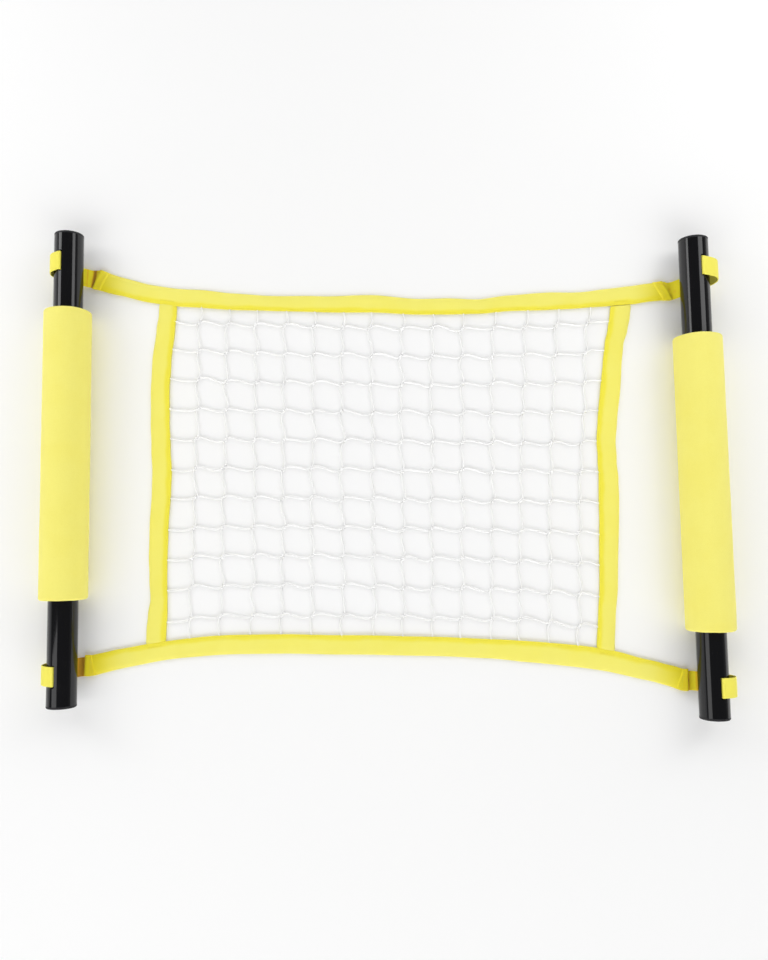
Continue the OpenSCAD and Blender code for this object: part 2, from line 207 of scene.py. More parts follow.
class SharedEffects:
    """The shader groups that more than one finish uses."""

    def __init__(self) -> None:
        """Builds each group once."""
        self.weave = self.build_weave()
        self.grain = self.build_grain()
        self.soil = self.build_soil()

    @staticmethod
    def build_weave() -> NodeGroup:
        """Plain-woven tape: warp yarns along U and weft ribs along V, both in metres.

        Returns:
            The group, with the outputs Height and Crossing.
        """
        inputs = {"UV": "Vector", "Warp pitch": "Float", "Weft pitch": "Float", "Wander": "Float"}
        group = NodeGroup("Woven tape", inputs, {"Height": "Float", "Crossing": "Float"})
        uv, warp_pitch, weft_pitch, reach = (group.source[name] for name in inputs)
        wander = group.times(group.math("SUBTRACT", group.noise(uv, 220.0), 0.5), reach)
        parts = group.parts(uv)
        along = group.math("DIVIDE", group.math("ADD", parts[0], wander), weft_pitch)
        across = group.math("DIVIDE", group.math("ADD", parts[1], wander), warp_pitch)
        yarn = group.math("ABSOLUTE", group.math("SINE", group.times(across, math.pi)))
        row = group.math("MODULO", group.math("FLOOR", across), 2.0)
        over = group.line(group.math("SINE", group.times(group.math("ADD", along, row), math.pi)), 0.5, 0.5)
        group.feed(group.result["Height"], group.times(group.math("POWER", yarn, 0.6), group.line(over, 0.7, 0.3)))
        group.feed(group.result["Crossing"], over)
        return group

    @staticmethod
    def build_grain() -> NodeGroup:
        """Fine moulded or drawn grain.

        Returns:
            The group, with the outputs Height and Mask.
        """
        inputs = {"Vector": "Vector", "Scale": "Float", "Contrast": "Float"}
        group = NodeGroup("Fine grain", inputs, {"Height": "Float", "Mask": "Float"})
        vector, scale, contrast = (group.source[name] for name in inputs)
        wide = group.noise(vector, group.times(scale, 0.06), 4.0)
        mask = group.math("MULTIPLY_ADD", group.math("SUBTRACT", wide, 0.5), contrast, 0.5, clamp=True)
        group.feed(group.result["Height"], group.noise(vector, scale, 3.0))
        group.feed(group.result["Mask"], mask)
        return group

    @staticmethod
    def build_soil() -> NodeGroup:
        """Slight uneven dyeing and handling marks on a colour.

        Returns:
            The group, with the output Colour.
        """
        inputs = {"Vector": "Vector", "Colour": "Color", "Deep colour": "Color", "Amount": "Float"}
        group = NodeGroup("Uneven dye", inputs, {"Colour": "Color"})
        vector, colour, deep_colour, amount = (group.source[name] for name in inputs)
        cloud = group.span(group.noise(vector, 26.0, 5.0, 0.6), 0.35, 0.75)
        speck = group.span(group.noise(vector, 900.0, 2.0, 0.6), 0.45, 0.8)
        both = group.math("ADD", cloud, group.times(speck, 0.45))
        factor = group.math("MULTIPLY", both, amount, clamp=True)
        group.feed(group.result["Colour"], group.mix(factor, colour, deep_colour))
        return group

    def grained(self, graph: Graph, place: Socket, scale: float, contrast: float) -> Any:
        """The outputs Height and Mask of fine grain in a material."""
        return self.grain.use(graph, {"Vector": place, "Scale": scale, "Contrast": contrast})

    def dyed(self, graph: Graph, place: Socket, colour: Any, deep_colour: Any, amount: float) -> Socket:
        """A colour that goes over into a deeper one by uneven dye, in a material."""
        inputs = {"Vector": place, "Colour": colour, "Deep colour": deep_colour, "Amount": amount}
        return self.soil.use(graph, inputs)["Colour"]


# ---------------------------------------------------------------- finishes


class MaterialGraph(Graph):
    """A material's tree with its Principled shader."""

    def __init__(self, name: str) -> None:
        """Makes the material.

        Args:
            name: The material's name.
        """
        self.material = bpy.data.materials.new(name)
        self.material.use_nodes = True
        super().__init__(self.material.node_tree)
        self.shader = self.tree.nodes["Principled BSDF"]

    def place(self) -> Socket:
        """Object coordinates, in metres."""
        return self.add("ShaderNodeTexCoord").outputs["Object"]

    def surface(self) -> Socket:
        """The piece's own UV map, in metres along and across."""
        return self.add("ShaderNodeUVMap", uv_map=UV_NAME).outputs[0]

    def bump(self, height: Socket, depth: float, strength: float) -> Socket:
        """The normal of a height from 0 to 1 that is a depth in metres, used at a strength."""
        return self.add("ShaderNodeBump", {"Strength": strength, "Distance": depth, "Height": height}).outputs[0]

    def dress(self, **channels: Any) -> Material:
        """Feeds or sets channels of the shader.

        Args:
            channels: Sockets or constants, by channel, such as Base_Color or Roughness.

        Returns:
            The material.
        """
        for channel, value in channels.items():
            self.feed(self.shader.inputs[channel.replace("_", " ")], value)
        return self.material


@dataclass(frozen=True)
class TubeFinish:
    """Black glossy tube with fine drawing lines along it and faint rub marks."""

    colour: Colour = (0.0035, 0.0035, 0.0045)
    rub_colour: Colour = (0.009, 0.009, 0.010)
    roughness: float = 0.08

    def build(self, effects: SharedEffects) -> Material:
        """Makes the material.

        Args:
            effects: The shared shader groups.

        Returns:
            The material.
        """
        graph = MaterialGraph("Black glossy tube")
        drawn = effects.grained(graph, graph.stretched(graph.place(), (1.0, 0.02, 1.0)), 1400.0, 1.6)
        rub = graph.span(graph.noise(graph.stretched(graph.place(), (1.0, 0.4, 1.0)), 60.0, 6.0, 0.7), 0.55, 0.80)
        dull = graph.line(rub, 0.08, graph.times(drawn["Mask"], 0.04))
        return graph.dress(
            IOR=1.5, Specular_IOR_Level=0.5,
            Base_Color=graph.mix(graph.times(rub, 0.5), rgba(self.colour), rgba(self.rub_colour)),
            Roughness=graph.math("ADD", self.roughness, dull),
            Normal=graph.bump(drawn["Height"], 0.00002, 0.12),
        )


@dataclass(frozen=True)
class CapFinish:
    """Black moulded plastic with a fine spark-eroded grain."""

    colour: Colour = (0.010, 0.010, 0.012)
    worn_colour: Colour = (0.030, 0.030, 0.032)
    roughness: float = 0.48

    def build(self, effects: SharedEffects) -> Material:
        """Makes the material.

        Args:
            effects: The shared shader groups.

        Returns:
            The material.
        """
        graph = MaterialGraph("Black moulded cap")
        grain = effects.grained(graph, graph.place(), 2600.0, 2.2)
        wear = graph.times(graph.span(grain["Mask"], 0.55, 0.9), 0.5)
        return graph.dress(
            IOR=1.46, Specular_IOR_Level=0.4,
            Base_Color=graph.mix(wear, rgba(self.colour), rgba(self.worn_colour)),
            Roughness=graph.line(grain["Height"], 0.12, self.roughness),
            Normal=graph.bump(grain["Height"], 0.00008, 0.5),
        )


@dataclass(frozen=True)
class FoamFinish:
    """Closed-cell foam: a skin with pressed cells, slightly mottled and powdery."""

    colour: Colour = (0.975, 0.900, 0.210)
    deep_colour: Colour = (0.950, 0.850, 0.150)
    cell_size: float = 0.0011

    def build(self, effects: SharedEffects) -> Material:
        """Makes the material.

        Args:
            effects: The shared shader groups.

        Returns:
            The material.
        """
        graph = MaterialGraph("Yellow closed-cell foam")
        place = graph.place()
        cells = {"Vector": place, "Scale": 1.0 / self.cell_size}
        cell_walls = graph.add("ShaderNodeTexVoronoi", cells, feature="DISTANCE_TO_EDGE").outputs["Distance"]
        walls = graph.span(cell_walls, 0.0, 0.22)
        pits = graph.span(graph.noise(place, 2400.0, 2.0, 0.6), 0.30, 0.55)
        grain = effects.grained(graph, place, 700.0, 1.8)
        dyed = effects.dyed(graph, place, rgba(self.colour), rgba(self.deep_colour), 0.42)
        seams = graph.times(graph.math("SUBTRACT", 1.0, walls), 0.16)
        height = graph.math("ADD", graph.times(walls, 0.5), graph.line(pits, 0.35, grain["Height"]))
        return graph.dress(
            IOR=1.4, Specular_IOR_Level=0.25, Sheen_Weight=0.12, Sheen_Roughness=0.6,
            Base_Color=graph.mix(seams, dyed, rgba(self.deep_colour, 0.86)),
            Roughness=graph.line(grain["Mask"], 0.14, 0.72),
            Normal=graph.bump(height, 0.00016, 0.55),
        )


@dataclass(frozen=True)
class WebbingFinish:
    """Woven yellow tape: paler along its crown and deeper towards its stitched edge, where shade is painted into the
    colour, with painted shade near the poles, in creases and in the weave's valleys, and a soft sheen.

    Attributes:
        name: The material's name.
        colour: Colour of the crown.
        deep_colour: Colour of the stitched edge, where it stands for painted shade; uneven dye and the painted shade
            of the weave's valleys also go towards it.
        rich_colour: Deeper, more saturated colour close to the poles, painted shade where the webbing lies beside
            them.
        crease_colour: Painted shade colour of a shallow crease.
        pleat_colour: Painted shade colour at the bottom of a crease.
        rich: Distances from the fold, in metres, between which the colour goes over into the painted pole shade.
        deep: Distances from the stitched edge between which the colour goes over into the deep one, as painted shade.
        pitches: Distance from yarn to yarn of the warp and of the weft.
    """

    name: str = "Woven yellow tape"
    colour: Colour = (0.995, 0.922, 0.185)
    deep_colour: Colour = (0.985, 0.880, 0.065)
    rich_colour: Colour = (0.985, 0.840, 0.014)
    crease_colour: Colour = (0.860, 0.480, 0.010)
    pleat_colour: Colour = (0.300, 0.140, 0.014)
    rich: tuple[float, float] = (0.268, 0.314)
    deep: tuple[float, float] = (0.0075, 0.0030)
    pitches: tuple[float, float] = (0.00078, 0.00105)

    def build(self, effects: SharedEffects) -> Material:
        """Makes the material.

        Args:
            effects: The shared shader groups.

        Returns:
            The material.
        """
        graph = MaterialGraph(self.name)
        uv = graph.surface()
        warp, weft = self.pitches
        weave = effects.weave.use(graph, {"UV": uv, "Warp pitch": warp, "Weft pitch": weft, "Wander": 0.0003})
        cloud = graph.math("SUBTRACT", graph.noise(uv, 38.0, 3.0), 0.5)
        # Painted shade: the colour deepens towards the stitched edge.
        edge = graph.span(graph.line(cloud, 0.006, graph.parts(uv)[1]), *self.deep)
        plain = graph.mix(edge, rgba(self.colour), rgba(self.deep_colour))
        # Painted shade: close to the poles the colour goes over into a deeper, more saturated yellow.
        out = graph.math("ABSOLUTE", graph.parts(graph.place())[0])
        tone = graph.mix(graph.span(out, *self.rich), plain, rgba(self.rich_colour))
        # Real uneven dye over a colour that already holds the painted edge and pole shade.
        dyed = effects.dyed(graph, uv, tone, rgba(self.deep_colour, 0.97), 0.25)
        # Painted shade: the weave's valleys are darkened towards the deep colour.
        valley_shade = graph.times(graph.math("SUBTRACT", 1.0, weave["Height"]), 0.10)
        woven = graph.mix(valley_shade, dyed, rgba(self.deep_colour, 0.72))
        # Painted shade: the crease attribute darkens the colour to orange in shallow creases and to brown at their
        # bottoms.
        crease = graph.add("ShaderNodeAttribute", attribute_name=CREASE_SHADE_NAME).outputs["Fac"]
        crease_shaded = graph.mix(graph.span(crease, 0.0, 0.55), woven, rgba(self.crease_colour))
        return graph.dress(
            IOR=1.5, Specular_IOR_Level=0.3, Sheen_Weight=0.18, Sheen_Roughness=0.45,
            Base_Color=graph.mix(graph.span(crease, 0.35, 1.0), crease_shaded, rgba(self.pleat_colour)),
            Roughness=graph.line(weave["Crossing"], -0.12, 0.74),
            Normal=graph.bump(weave["Height"], 0.00022, 0.7),
        )


@dataclass(frozen=True)
class CordFinish:
    """Laid white twine: three strands twisted together, with slight fuzz."""

    colour: Colour = (0.975, 0.975, 0.972)
    deep_colour: Colour = (0.925, 0.925, 0.920)
    lay_length: float = 0.0042
    strands: int = 3

    def build(self, effects: SharedEffects) -> Material:
        """Makes the material.

        Args:
            effects: The shared shader groups.

        Returns:
            The material.
        """
        graph = MaterialGraph("White laid twine")
        parts = graph.parts(graph.surface())
        turns = graph.math("ADD", graph.math("DIVIDE", parts[0], self.lay_length), parts[1])
        groove = graph.math("ABSOLUTE", graph.math("SINE", graph.times(turns, self.strands * math.pi)))
        rounded = graph.math("POWER", groove, 0.55)
        fibre = effects.grained(graph, graph.place(), 3200.0, 1.5)
        dyed = effects.dyed(graph, graph.place(), rgba(self.colour), rgba(self.deep_colour), 0.22)
        shade = graph.times(graph.math("SUBTRACT", 1.0, rounded), 0.25)
        return graph.dress(
            IOR=1.5, Specular_IOR_Level=0.3, Sheen_Weight=0.8, Sheen_Roughness=0.5,
            Base_Color=graph.mix(shade, dyed, rgba(self.deep_colour, 0.9)),
            Roughness=graph.line(fibre["Height"], 0.15, 0.68),
            Normal=graph.bump(graph.line(fibre["Height"], 0.25, rounded), 0.00016, 0.6),
        )


@dataclass(frozen=True)
class ThreadFinish:
    """Polyester sewing thread in the tape's colour, a little glossier than the tape."""

    colour: Colour = (0.930, 0.835, 0.050)
    deep_colour: Colour = (0.800, 0.660, 0.020)

    def build(self, effects: SharedEffects) -> Material:
        """Makes the material.

        Args:
            effects: The shared shader groups.

        Returns:
            The material.
        """
        graph = MaterialGraph("Yellow sewing thread")
        place = graph.place()
        wave = {"Vector": place, "Scale": 900.0, "Distortion": 1.5}
        twist = graph.add("ShaderNodeTexWave", wave, bands_direction="DIAGONAL").outputs["Fac"]
        dyed = effects.dyed(graph, place, rgba(self.colour), rgba(self.deep_colour), 0.35)
        return graph.dress(
            IOR=1.5, Specular_IOR_Level=0.45, Sheen_Weight=0.15,
            Base_Color=graph.mix(graph.times(twist, 0.25), dyed, rgba(self.deep_colour)),
            Roughness=graph.line(twist, 0.1, 0.42),
            Normal=graph.bump(twist, 0.00006, 0.6),
        )


@dataclass(frozen=True)
class RodFinish:
    """Milky extruded rod of the strap stops."""

    colour: Colour = (0.80, 0.80, 0.78)
    roughness: float = 0.42

    def build(self, effects: SharedEffects) -> Material:
        """Makes the material.

        Args:
            effects: The shared shader groups.

        Returns:
            The material.
        """
        graph = MaterialGraph("Milky plastic rod")
        grain = effects.grained(graph, graph.place(), 1500.0, 1.5)
        return graph.dress(
            IOR=1.49,
            Base_Color=graph.mix(grain["Mask"], rgba(self.colour), rgba(self.colour, 0.92)),
            Roughness=graph.line(grain["Height"], 0.1, self.roughness),
            Normal=graph.bump(grain["Height"], 0.00003, 0.4),
        )


class Finishes:
    """Every material of the object, built once."""

    # Edge spans that leave folded webbing almost without the painted edge shade.
    FOLDED = (0.0012, 0.0)

    def __init__(self) -> None:
        """Builds the shared effects and then the materials."""
        effects = SharedEffects()
        # The strap gets the painted pole shade from the pole's axis inwards.
        strap = WebbingFinish("Woven yellow strap", (0.985, 0.900, 0.125), deep=self.FOLDED, rich=(0.3325, 0.322))
        self.tube = TubeFinish().build(effects)
        self.cap = CapFinish().build(effects)
        self.foam = FoamFinish().build(effects)
        self.webbing = WebbingFinish().build(effects)
        self.strap = strap.build(effects)
        self.webbing_end = WebbingFinish("Folded yellow tape end", deep=self.FOLDED).build(effects)
        self.cord = CordFinish().build(effects)
        self.thread = ThreadFinish().build(effects)
        self.rod = RodFinish().build(effects)


# ---------------------------------------------------------------- shared sizes and lines


def lerp(a: Any, b: Any, share: Any) -> Any:
    """The value at a share of the way from a to b."""
    return a + (b - a) * share


def smooth(share: Any) -> Any:
    """A share from 0 to 1, eased at both ends."""
    held = np.clip(share, 0.0, 1.0)
    return held * held * (3.0 - 2.0 * held)


@dataclass(frozen=True)
class NetPlan:
    """The plan of the whole object, in millimetres, with the lines that its pieces follow.

    The values that differ from corner to corner stand in the order left upper, left lower, right upper, right lower.
    """

    pole_spacing: float = 664.0
    pole_stagger: float = 19.0
    pole_radius: float = 15.0
    tube_wall: float = 1.6
    axis_height: float = 25.0
    strap_station: float = 216.0
    tape_station: float = 195.0
    strap_reach: float = 23.0
    tape_width: float = 20.0
    bow_depth: tuple[float, float] = (22.0, 29.0)
    bow_powers: tuple[float, float, float, float] = (5.0, 3.5, 2.0, 4.0)
    drifts: tuple[float, float, float, float] = (9.0, 4.5, 16.0, 2.0)
    side_top: tuple[float, float] = (232.0, 258.0)
    side_bottom: tuple[float, float] = (243.0, 229.0)
    side_bow: tuple[float, float] = (-1.0, 5.0)
    mesh_pitch: float = 31.8
    row_pitch: float = 31.0
    column_shift: float = 4.75
    first_row: float = 20.0
    knot_stray: float = 3.2
    edge_min: float = 8.0
    net_height: float = 1.7

    STRAY_SPOT = (1.37, 1.71, 0.5)
    STRAY_SCALE = 1.9
    ROW_STRAY = 0.8

    @property
    def half_span(self) -> float:
        """Distance from the fold to the ends of the tapes."""
        return self.pole_spacing / 2 - self.strap_reach

    @staticmethod
    def pick(values: Sequence[float], side: Side, edge: Edge) -> float:
        """The value of one corner."""
        return values[(0 if side is Side.LEFT else 2) + (0 if edge is Edge.TOP else 1)]

    @staticmethod
    def of_side(values: Sequence[float], side: Side) -> float:
        """The value of one side."""
        return values[0 if side is Side.LEFT else 1]

    def pole_y(self, side: Side) -> float:
        """Height of a pole's middle."""
        return -side.value * self.pole_stagger / 2

    def slot_y(self, side: Side, edge: Edge) -> float:
        """Height of a strap's slot."""
        return self.pole_y(side) + edge.value * self.strap_station

    def drift(self, side: Side, edge: Edge) -> float:
        """How far a strap drifts inwards from slot to tape."""
        return self.pick(self.drifts, side, edge)

    def tape_y(self, edge: Edge, x: Any) -> Any:
        """Height of the middle of the top or bottom tape.

        Args:
            edge: Which tape.
            x: Where along the object.

        Returns:
            The height.
        """
        ends = [self.slot_y(side, edge) - edge.value * self.drift(side, edge) for side in Side]
        chord = lerp(ends[0], ends[1], (x + self.half_span) / (2 * self.half_span))
        powers = [self.pick(self.bow_powers, side, edge) for side in Side]
        depth = self.bow_depth[0 if edge is Edge.TOP else 1]
        share = np.minimum(np.abs(x) / self.half_span, 1.0)
        return chord - edge.value * (depth * (1 - share ** np.where(x < 0, powers[0], powers[1])))

    def tape_line(self, edge: Edge, x: Any, out_by: float) -> Any:
        """Height of a line along the top or bottom tape.

        Args:
            edge: Which tape.
            x: Where along the object.
            out_by: How far beyond the tape's inner edge the line lies.

        Returns:
            The height.
        """
        slope = self.tape_y(edge, x + 0.5) - self.tape_y(edge, x - 0.5)
        half = self.tape_width / 2 * np.sqrt(1 + slope**2)
        return self.tape_y(edge, x) - edge.value * (half - out_by)

    def side_line(self, side: Side, y: Any, out_by: float) -> Any:
        """Distance from the fold to a line along a side tape.

        Args:
            side: Which tape.
            y: Height on the object.
            out_by: How far beyond the tape's inner edge the line lies.

        Returns:
            The distance.
        """
        share = (y + self.strap_station) / (2 * self.strap_station)
        middle = lerp(self.of_side(self.side_bottom, side), self.of_side(self.side_top, side), share)
        middle = middle - self.of_side(self.side_bow, side) * (1 - (y / self.strap_station) ** 2)
        return middle - self.tape_width / 2 + out_by

    def first_cord(self, side: Side) -> float:
        """Distance from the fold to the first upright cord."""
        return self.mesh_pitch / 2 + side.value * self.column_shift

    def columns(self, side: Side) -> int:
        """Upright cords in one half of the net."""
        room = self.side_line(side, 0.0, 0.0) - self.edge_min - self.first_cord(side)
        return int(room // self.mesh_pitch) + 1

    @property
    def span_y(self) -> float:
        """Height of the net's opening at the fold."""
        return float(self.tape_line(Edge.TOP, 0.0, 0.0) - self.tape_line(Edge.BOTTOM, 0.0, 0.0))

    @property
    def rows(self) -> int:
        """Level cords of the net."""
        return int((self.span_y - self.first_row - self.edge_min) // self.row_pitch) + 1

    def cord_x(self, side: Side, column: int, y: Any) -> Any:
        """Distance from the fold to an upright cord at a height."""
        share = (self.first_cord(side) + column * self.mesh_pitch) / self.side_line(side, 0.0, 0.0)
        return self.side_line(side, y, 0.0) * share

    def cord_y(self, row: int, x: Any) -> Any:
        """Height of a level cord, the first row being 1."""
        share = (self.first_row + (row - 1) * self.row_pitch) / self.span_y
        return lerp(self.tape_line(Edge.BOTTOM, x, 0.0), self.tape_line(Edge.TOP, x, 0.0), share)

    def knot(self, side: Side, column: int, row: int) -> Array:
        """Where an upright and a level cord cross.

        Args:
            side: Half of the net.
            column: Upright cord, counted outwards from the fold.
            row: Level cord, counted upwards from 1.

        Returns:
            The point, in the object's frame.
        """
        x = self.cord_x(side, column, 0.0)
        for _ in range(2):
            y = self.cord_y(row, side.value * x)
            x = self.cord_x(side, column, y)
        start, step, depth = self.STRAY_SPOT
        spot = Vector((side.value * (column + start), row * step, depth))
        stray = noise.noise_vector(spot * self.STRAY_SCALE) * self.knot_stray
        return np.array([side.value * x + stray[0], float(y) + self.ROW_STRAY * stray[1], self.net_height])


# ---------------------------------------------------------------- meshes


def mesh_object(
    name: str,
    points: Array,
    faces: Sequence[Sequence[int]] = (),
    uvs: Array | None = None,
    links: Sequence[tuple[int, int]] = (),
    smooth_faces: bool = True,
) -> Piece:
    """Makes an object from points in millimetres.

    Args:
        name: The piece's name.
        points: Corners, one row each.
        faces: Corner numbers of each face.
        uvs: A UV pair in metres for each face corner, or None.
        links: Pairs of points that a line joins.
        smooth_faces: Whether the faces are shaded smooth.

    Returns:
        The object, at the origin.
    """
    mesh = bpy.data.meshes.new(name)
    mesh.from_pydata((np.asarray(points, float) * MM).tolist(), links, faces)
    if uvs is not None:
        layer = mesh.uv_layers.new(name=UV_NAME)
        layer.data.foreach_set("uv", np.asarray(uvs, np.float32).ravel())
    if faces:
        mesh.polygons.foreach_set("use_smooth", [smooth_faces] * len(faces))
    made = bpy.data.objects.new(name, mesh)
    bpy.context.scene.collection.objects.link(made)
    return made


def store(piece: Piece, attribute: str, values: Any) -> None:
    """Stores a number or a vector on each point of a piece.

    Args:
        piece: The piece.
        attribute: Name of the attribute.
        values: A number or a row of three for each point.
    """
    rows = np.asarray(values, np.float32)
    kind, slot = ("FLOAT_VECTOR", "vector") if rows.ndim > 1 else ("FLOAT", "value")
    piece.data.attributes.new(attribute, kind, "POINT").data.foreach_set(slot, rows.ravel())


def dress(piece: Piece, material: Material) -> Piece:
    """Gives a piece its material."""
    piece.data.materials.append(material)
    return piece


def face_outwards(piece: Piece) -> None:
    """Turns every face of a closed piece outwards.

    Args:
        piece: The piece.
    """
    work = bmesh.new()
    work.from_mesh(piece.data)
    bmesh.ops.recalc_face_normals(work, faces=work.faces)
    work.to_mesh(piece.data)
    work.free()
    piece.data.update()


def loft(name: str, rings: Array, along: Array, around: Array) -> Piece:
    """Joins closed cross-sections into one skin with flat ends.

    Args:
        name: The piece's name.
        rings: Points as sections by points by three, in millimetres.
        along: Distance along the piece of each section, in millimetres.
        around: Distance round the section of each point and, last, of the first point again.

    Returns:
        The object.
    """
    count, sides = rings.shape[:2]
    rows, columns = np.arange(count - 1)[:, None] * sides, np.arange(sides)[None, :]
    start, turn = (rows + columns).ravel(), (rows + (columns + 1) % sides).ravel()
    quads = np.stack([start, turn, turn + sides, start + sides], axis=1)
    ends = [list(range(sides)), list(range((count - 1) * sides, count * sides))]
    u, v = along * MM, around * MM
    low, high = np.repeat(u[:-1], sides), np.repeat(u[1:], sides)
    near, far = np.tile(v[:-1], count - 1), np.tile(v[1:], count - 1)
    wall = np.stack([low, near, low, far, high, far, high, near], axis=1).reshape(-1, 2)
    caps = [np.stack([np.full(sides, end), v[:-1]], axis=1) for end in (u[0], u[-1])]
    piece = mesh_object(name, rings.reshape(-1, 3), [*quads.tolist(), *ends], np.concatenate([wall, *caps]))
    face_outwards(piece)
    return piece


def measured(path: Array) -> Array:
    """Distance along a path at each of its points."""
    return np.concatenate([[0.0], np.cumsum(np.linalg.norm(np.diff(path, axis=0), axis=1))])


def at_marks(marks: Any, along: Array, path: Array) -> Array:
    """Points of a path at the distances asked for, given the distance along of its own points."""
    return np.stack([np.interp(marks, along, column) for column in path.T], axis=-1)


def resampled(path: Array, step: float) -> Array:
    """A smooth path through the same points, at even steps.

    Args:
        path: Points, one row each.
        step: Distance between the new points.

    Returns:
        The new points.
    """
    padded = np.vstack([2 * path[0] - path[1], path, 2 * path[-1] - path[-2]])
    fine: list[Array] = []
    for i in range(1, len(padded) - 2):
        a, b, c, d = padded[i - 1 : i + 3]
        for t in np.linspace(0.0, 1.0, 12, endpoint=False):
            curve = 2 * b + (c - a) * t + (2 * a - 5 * b + 4 * c - d) * t**2 + (3 * b - a - 3 * c + d) * t**3
            fine.append(0.5 * curve)
    dense = np.array([*fine, path[-1]])
    length = measured(dense)
    return at_marks(np.linspace(0.0, length[-1], max(2, int(round(length[-1] / step)) + 1)), length, dense)


def directions(path: Array) -> Array:
    """Unit direction of a path at each of its points."""
    step = np.gradient(path, axis=0)
    return step / np.linalg.norm(step, axis=1)[:, None]


# ---------------------------------------------------------------- geometry trees


class GeometryTree(NodeGroup):
    """A Geometry Nodes tree with named inputs, made for one kind of repeated or swept shape."""

    TREE = "GeometryNodeTree"

    def __init__(self, name: str, inputs: dict[str, str]) -> None:
        """Makes the tree.

        Args:
            name: The tree's name.
            inputs: Kind of each input beside the geometry and the material, by name.
        """
        shape = {"Geometry": "Geometry"}
        super().__init__(name, {**shape, **inputs, "Material": "Material"}, shape)

    def named(self, attribute: str, kind: str = "FLOAT") -> Socket:
        """Reads an attribute of the geometry."""
        return self.add("GeometryNodeInputNamedAttribute", {"Name": attribute}, data_type=kind).outputs["Attribute"]

    def finish(self, geometry: Socket) -> None:
        """Realizes the instances, smooths the shading, sets the material and ends the tree.

        Args:
            geometry: What the tree has made.
        """
        real = self.add("GeometryNodeRealizeInstances", {"Geometry": geometry}).outputs[0]
        soft = self.add("GeometryNodeSetShadeSmooth", {0: real}).outputs[0]
        dressed = self.add("GeometryNodeSetMaterial", {"Geometry": soft, "Material": self.source["Material"]})
        self.feed(self.result[0], dressed.outputs[0])

    def run(self, piece: Piece, values: dict[str, Any]) -> Piece:
        """Runs the tree on a piece and keeps the result as the piece's plain mesh.

        Args:
            piece: The object that carries the points or lines.
            values: Values of the named inputs.

        Returns:
            The same object with its new mesh.
        """
        modifier = piece.modifiers.new(self.tree.name, "NODES")
        modifier.node_group = self.tree
        for item in self.tree.interface.items_tree:
            if item.item_type == "SOCKET" and item.in_out == "INPUT" and item.name in values:
                modifier[item.identifier] = values[item.name]
        graph = bpy.context.evaluated_depsgraph_get()
        mesh = bpy.data.meshes.new_from_object(piece.evaluated_get(graph), depsgraph=graph)
        piece.modifiers.clear()
        spent, piece.data = piece.data, mesh
        mesh.name = piece.name
        bpy.data.meshes.remove(spent)
        return piece


class TwineTree(GeometryTree):
    """Sweeps a round section along lines; each point's own share scales the section."""

    SIDES = 8
    JOIN = 0.00003

    def __init__(self) -> None:
        """Builds the tree."""
        super().__init__("Twine along lines", {"Radius": "Float"})
        lines = self.add("GeometryNodeMeshToCurve", {"Mesh": self.source["Geometry"]}).outputs[0]
        kept = self.add("GeometryNodeCaptureAttribute", {"Geometry": lines})
        kept.capture_items.new("FLOAT", "Along")
        self.feed(kept.inputs[1], self.add("GeometryNodeSplineParameter").outputs["Length"])
        arc = {"Resolution": self.SIDES + 1, "Radius": self.source["Radius"], "Sweep Angle": 2 * math.pi}
        ring = self.add("GeometryNodeCurveArc", arc, mode="RADIUS").outputs[0]
        round_kept = self.add("GeometryNodeCaptureAttribute", {"Geometry": ring})
        round_kept.capture_items.new("FLOAT", "Round")
        self.feed(round_kept.inputs[1], self.add("GeometryNodeSplineParameter").outputs["Factor"])
        swept = {"Curve": kept.outputs[0], "Profile Curve": round_kept.outputs[0], "Scale": self.named("thick")}
        skin = self.add("GeometryNodeCurveToMesh", swept).outputs[0]
        uv = self.add("ShaderNodeCombineXYZ", {0: kept.outputs[1], 1: round_kept.outputs[1]}).outputs[0]
        place = {0: skin, "Name": UV_NAME, "Value": uv}
        stored = self.add("GeometryNodeStoreNamedAttribute", place, data_type="FLOAT2", domain="CORNER").outputs[0]
        self.finish(self.add("GeometryNodeMergeByDistance", {0: stored, "Distance": self.JOIN}).outputs[0])


class KnotTree(GeometryTree):
    """Puts one tied knot on every point, turned and scaled by the point's own values."""

    def __init__(self) -> None:
        """Builds the tree."""
        super().__init__("Knots on crossings", {"Knot": "Object"})
        shape = self.add("GeometryNodeObjectInfo", {"Object": self.source["Knot"]}).outputs["Geometry"]
        turn = self.add("ShaderNodeCombineXYZ", {0: self.named("roll"), 2: self.named("turn")}).outputs[0]
        rotation = self.add("FunctionNodeEulerToRotation", {0: turn}).outputs[0]
        size = self.named("size")
        placed = {"Points": self.source["Geometry"], "Instance": shape, "Rotation": rotation, "Scale": size}
        self.finish(self.add("GeometryNodeInstanceOnPoints", placed).outputs[0])


class StitchTree(GeometryTree):
    """Lays a short length of thread on every point, along the point's own direction."""

    def __init__(self) -> None:
        """Builds the tree."""
        super().__init__("Stitches along seams", {"Thread width": "Float", "Unevenness": "Float", "Seed": "Int"})
        width, unevenness = self.source["Thread width"], self.source["Unevenness"]
        bead = self.add("GeometryNodeMeshUVSphere", {"Segments": 6, "Rings": 5, "Radius": 0.5}).outputs[0]
        lie = {"Vector": self.named("lie", "FLOAT_VECTOR")}
        rotation = self.add("FunctionNodeAlignRotationToVector", lie, axis="X").outputs[0]
        share = {2: self.math("SUBTRACT", 1.0, unevenness), 3: self.math("ADD", 1.0, unevenness)}
        vary = self.add("FunctionNodeRandomValue", {"Seed": self.source["Seed"], **share}, data_type="FLOAT")
        length = self.times(self.named("length"), vary.outputs[1])
        scale = self.add("ShaderNodeCombineXYZ", {0: length, 1: width, 2: self.times(width, 0.8)}).outputs[0]
        placed = {"Points": self.source["Geometry"], "Instance": bead, "Rotation": rotation, "Scale": scale}
        self.finish(self.add("GeometryNodeInstanceOnPoints", placed).outputs[0])


